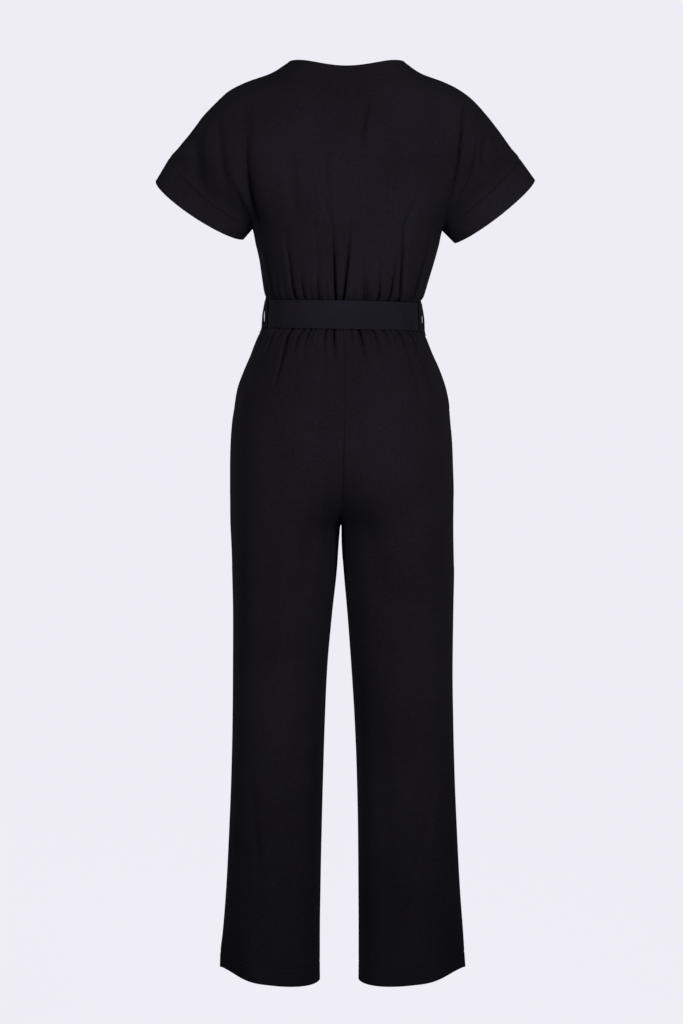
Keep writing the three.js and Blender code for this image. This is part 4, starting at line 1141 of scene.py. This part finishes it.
# %% Belt knot
knot_low, knot_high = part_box("belt_knot")
KNOT_MIDDLE = (Vector(knot_low) + Vector(knot_high)) / 2 / MM
KNOT_HALF = (Vector(knot_high) - Vector(knot_low)) / 2 / MM
KNOT_ROWS, KNOT_COLUMNS = 72, 96
# the bunched folds: how many, how deep, and how far they bend as they go round
KNOT_FOLDS, KNOT_FOLD_DEPTH, KNOT_FOLD_BEND = 4.5, 1.5, 0.05
# how far the turn slants across the knot, and how far its back is pushed towards the belt
KNOT_SLANT, KNOT_PRESS = 0.16, 1.6
# the curve of its ends, and the height and depth that are left there, as shares
KNOT_CURVE, KNOT_END_HEIGHT, KNOT_END_DEPTH = 2.6, 0.45, 0.4
# how flat the back of its section is, and how much narrower the knot is on top and below
KNOT_BACK, KNOT_WAIST = 0.4, 0.1


def knot_place(run, across):
    """run goes across the knot, and across goes once round the wrapped turn."""
    side = 2 * run - 1
    angle = -across * 2 * math.pi
    crown = math.sqrt(max(0.0, 1 - abs(side) ** KNOT_CURVE))
    whole = 1 if crown > 0 else 0
    ridge = abs(math.sin(KNOT_FOLDS * math.pi * (run + KNOT_FOLD_BEND * math.sin(angle))))
    fold = KNOT_FOLD_DEPTH * ridge - KNOT_FOLD_DEPTH
    height = (KNOT_HALF.z + fold) * lerp(KNOT_END_HEIGHT, 1, crown) * whole
    depth = (KNOT_HALF.y + fold) * lerp(KNOT_END_DEPTH, 1, crown) * whole
    up, forward = math.sin(angle), math.cos(angle)
    x = side * KNOT_HALF.x * (1 - KNOT_WAIST * (1 - up * up))
    x += KNOT_SLANT * up * KNOT_HALF.x * (1 - abs(side))
    if forward < 0:
        # the back of the knot is pressed flat against the belt
        y = KNOT_MIDDLE.y + (KNOT_HALF.y + KNOT_PRESS) * (-forward) ** KNOT_BACK * whole
    else:
        y = KNOT_MIDDLE.y - forward * depth
    return Vector((KNOT_MIDDLE.x + x, y, KNOT_MIDDLE.z + up * height))


KNOT_FLAT = (0.042, 0.056)
knot = stands_for(
    lay_cloth("belt_knot_cloth", [i / KNOT_ROWS for i in range(KNOT_ROWS + 1)], KNOT_COLUMNS, knot_place,
              KNOT_FLAT, thickness=None, material=belt_crepe),
    "belt_knot")
print("knot:", len(knot.data.polygons), "faces, half its size in mm:", [round(v, 1) for v in KNOT_HALF])

# %% [markdown]
# ## Stitches
# Only a few seams show their thread: the hems and the ends of the sleeves. Each stitch is a small, slender
# bead, 2.7 mm long, laid along the cloth. `bmesh.ops.create_icosphere` makes it with a matrix that turns it
# to its line. The thread is a little shinier than the crepe. Its black colour is painted a little lighter, as
# a painted glint of light on each stitch, which is how the eye finds the hem.

# %% Thread
# the length of a stitch, the way from one to the next, half its thickness, and its place from a cuff's edge
STITCH, STITCH_STEP, THREAD_HALF, STITCH_INSET = 2.7, 3.5, 0.22, 9
HEM_POINTS, CUFF_POINTS = 400, 500
# a pressed hem faces mostly backwards and forwards, so y counts for more in its outward direction
HEM_FLATNESS = 3
# the thread is black; this lighter colour is a painted glint of light on each stitch
PAINTED_GLINT_THREAD_COLOUR = "#2a282f"

thread_material, tree = new_material("black_thread_painted_glint")
shader = add_node(tree, "ShaderNodeBsdfPrincipled", {
    "Base Color": linear(PAINTED_GLINT_THREAD_COLOUR), "Roughness": 0.5, "IOR": 1.5, "Specular IOR Level": 0.2,
})
add_node(tree, "ShaderNodeOutputMaterial", Surface=shader.outputs["BSDF"])


def sew(bm, path):
    """Lays stitches along a path of points in mm. Each has its own outward direction."""
    travelled, due = 0, 0
    for (start, outward), (stop, _) in zip(path, path[1:]):
        step = (stop - start).length
        if travelled + step >= due and step > 0:
            along = (stop - start) / step
            up = (outward - along * outward.dot(along)).normalized()
            turn = Matrix((along, up.cross(along), up)).transposed().to_4x4()
            size = Matrix.Diagonal((STITCH / 2, THREAD_HALF, THREAD_HALF, 1))
            place = Matrix.Translation((start + up * THREAD_HALF * 0.5) * MM)
            bmesh.ops.create_icosphere(bm, subdivisions=1, radius=MM, matrix=place @ turn @ size)
            due += STITCH_STEP
        travelled += step


def thread_piece(name, paths):
    """One piece that holds all stitches of some paths."""
    bm = bmesh.new()
    for path in paths:
        sew(bm, path)
    piece = finish_cloth(name, bm, None, thread_material)
    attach(piece, "root")
    print(name, len(piece.data.polygons), "faces")


def hem_path(side, face):
    """The stitch line of one panel's hem, with the directions out of the leg."""
    path = []
    for i in range(HEM_POINTS + 1):
        here = trouser_point(HEM_STITCH, i / HEM_POINTS, side, face)
        middle = trouser_ring(HEM_STITCH, side, face)[2] * (1 if side == "left" else -1)
        path.append((here, Vector((here.x - middle, here.y * HEM_FLATNESS, 0)).normalized()))
    return path


def cuff_path(side):
    """The stitch line round a cuff, with the directions out of the sleeve."""
    place = cuff_place(side)
    line = sleeve_line(side)
    down = Vector(((1 if side == "left" else -1) * line["down"][0], 0, line["down"][1]))
    run = 1 - STITCH_INSET / CUFF_WIDTH
    points = [place(run, i / CUFF_POINTS) for i in range(CUFF_POINTS + 1)]
    middle = sum(points[:-1], Vector()) / CUFF_POINTS
    return [(p, ((p - middle) - down * (p - middle).dot(down)).normalized()) for p in points]


for side in ("left", "right"):
    thread_piece(f"hem_stitches_{side}", [hem_path(side, "back"), hem_path(side, "front")])
    thread_piece(f"cuff_stitches_{side}", [cuff_path(side)])
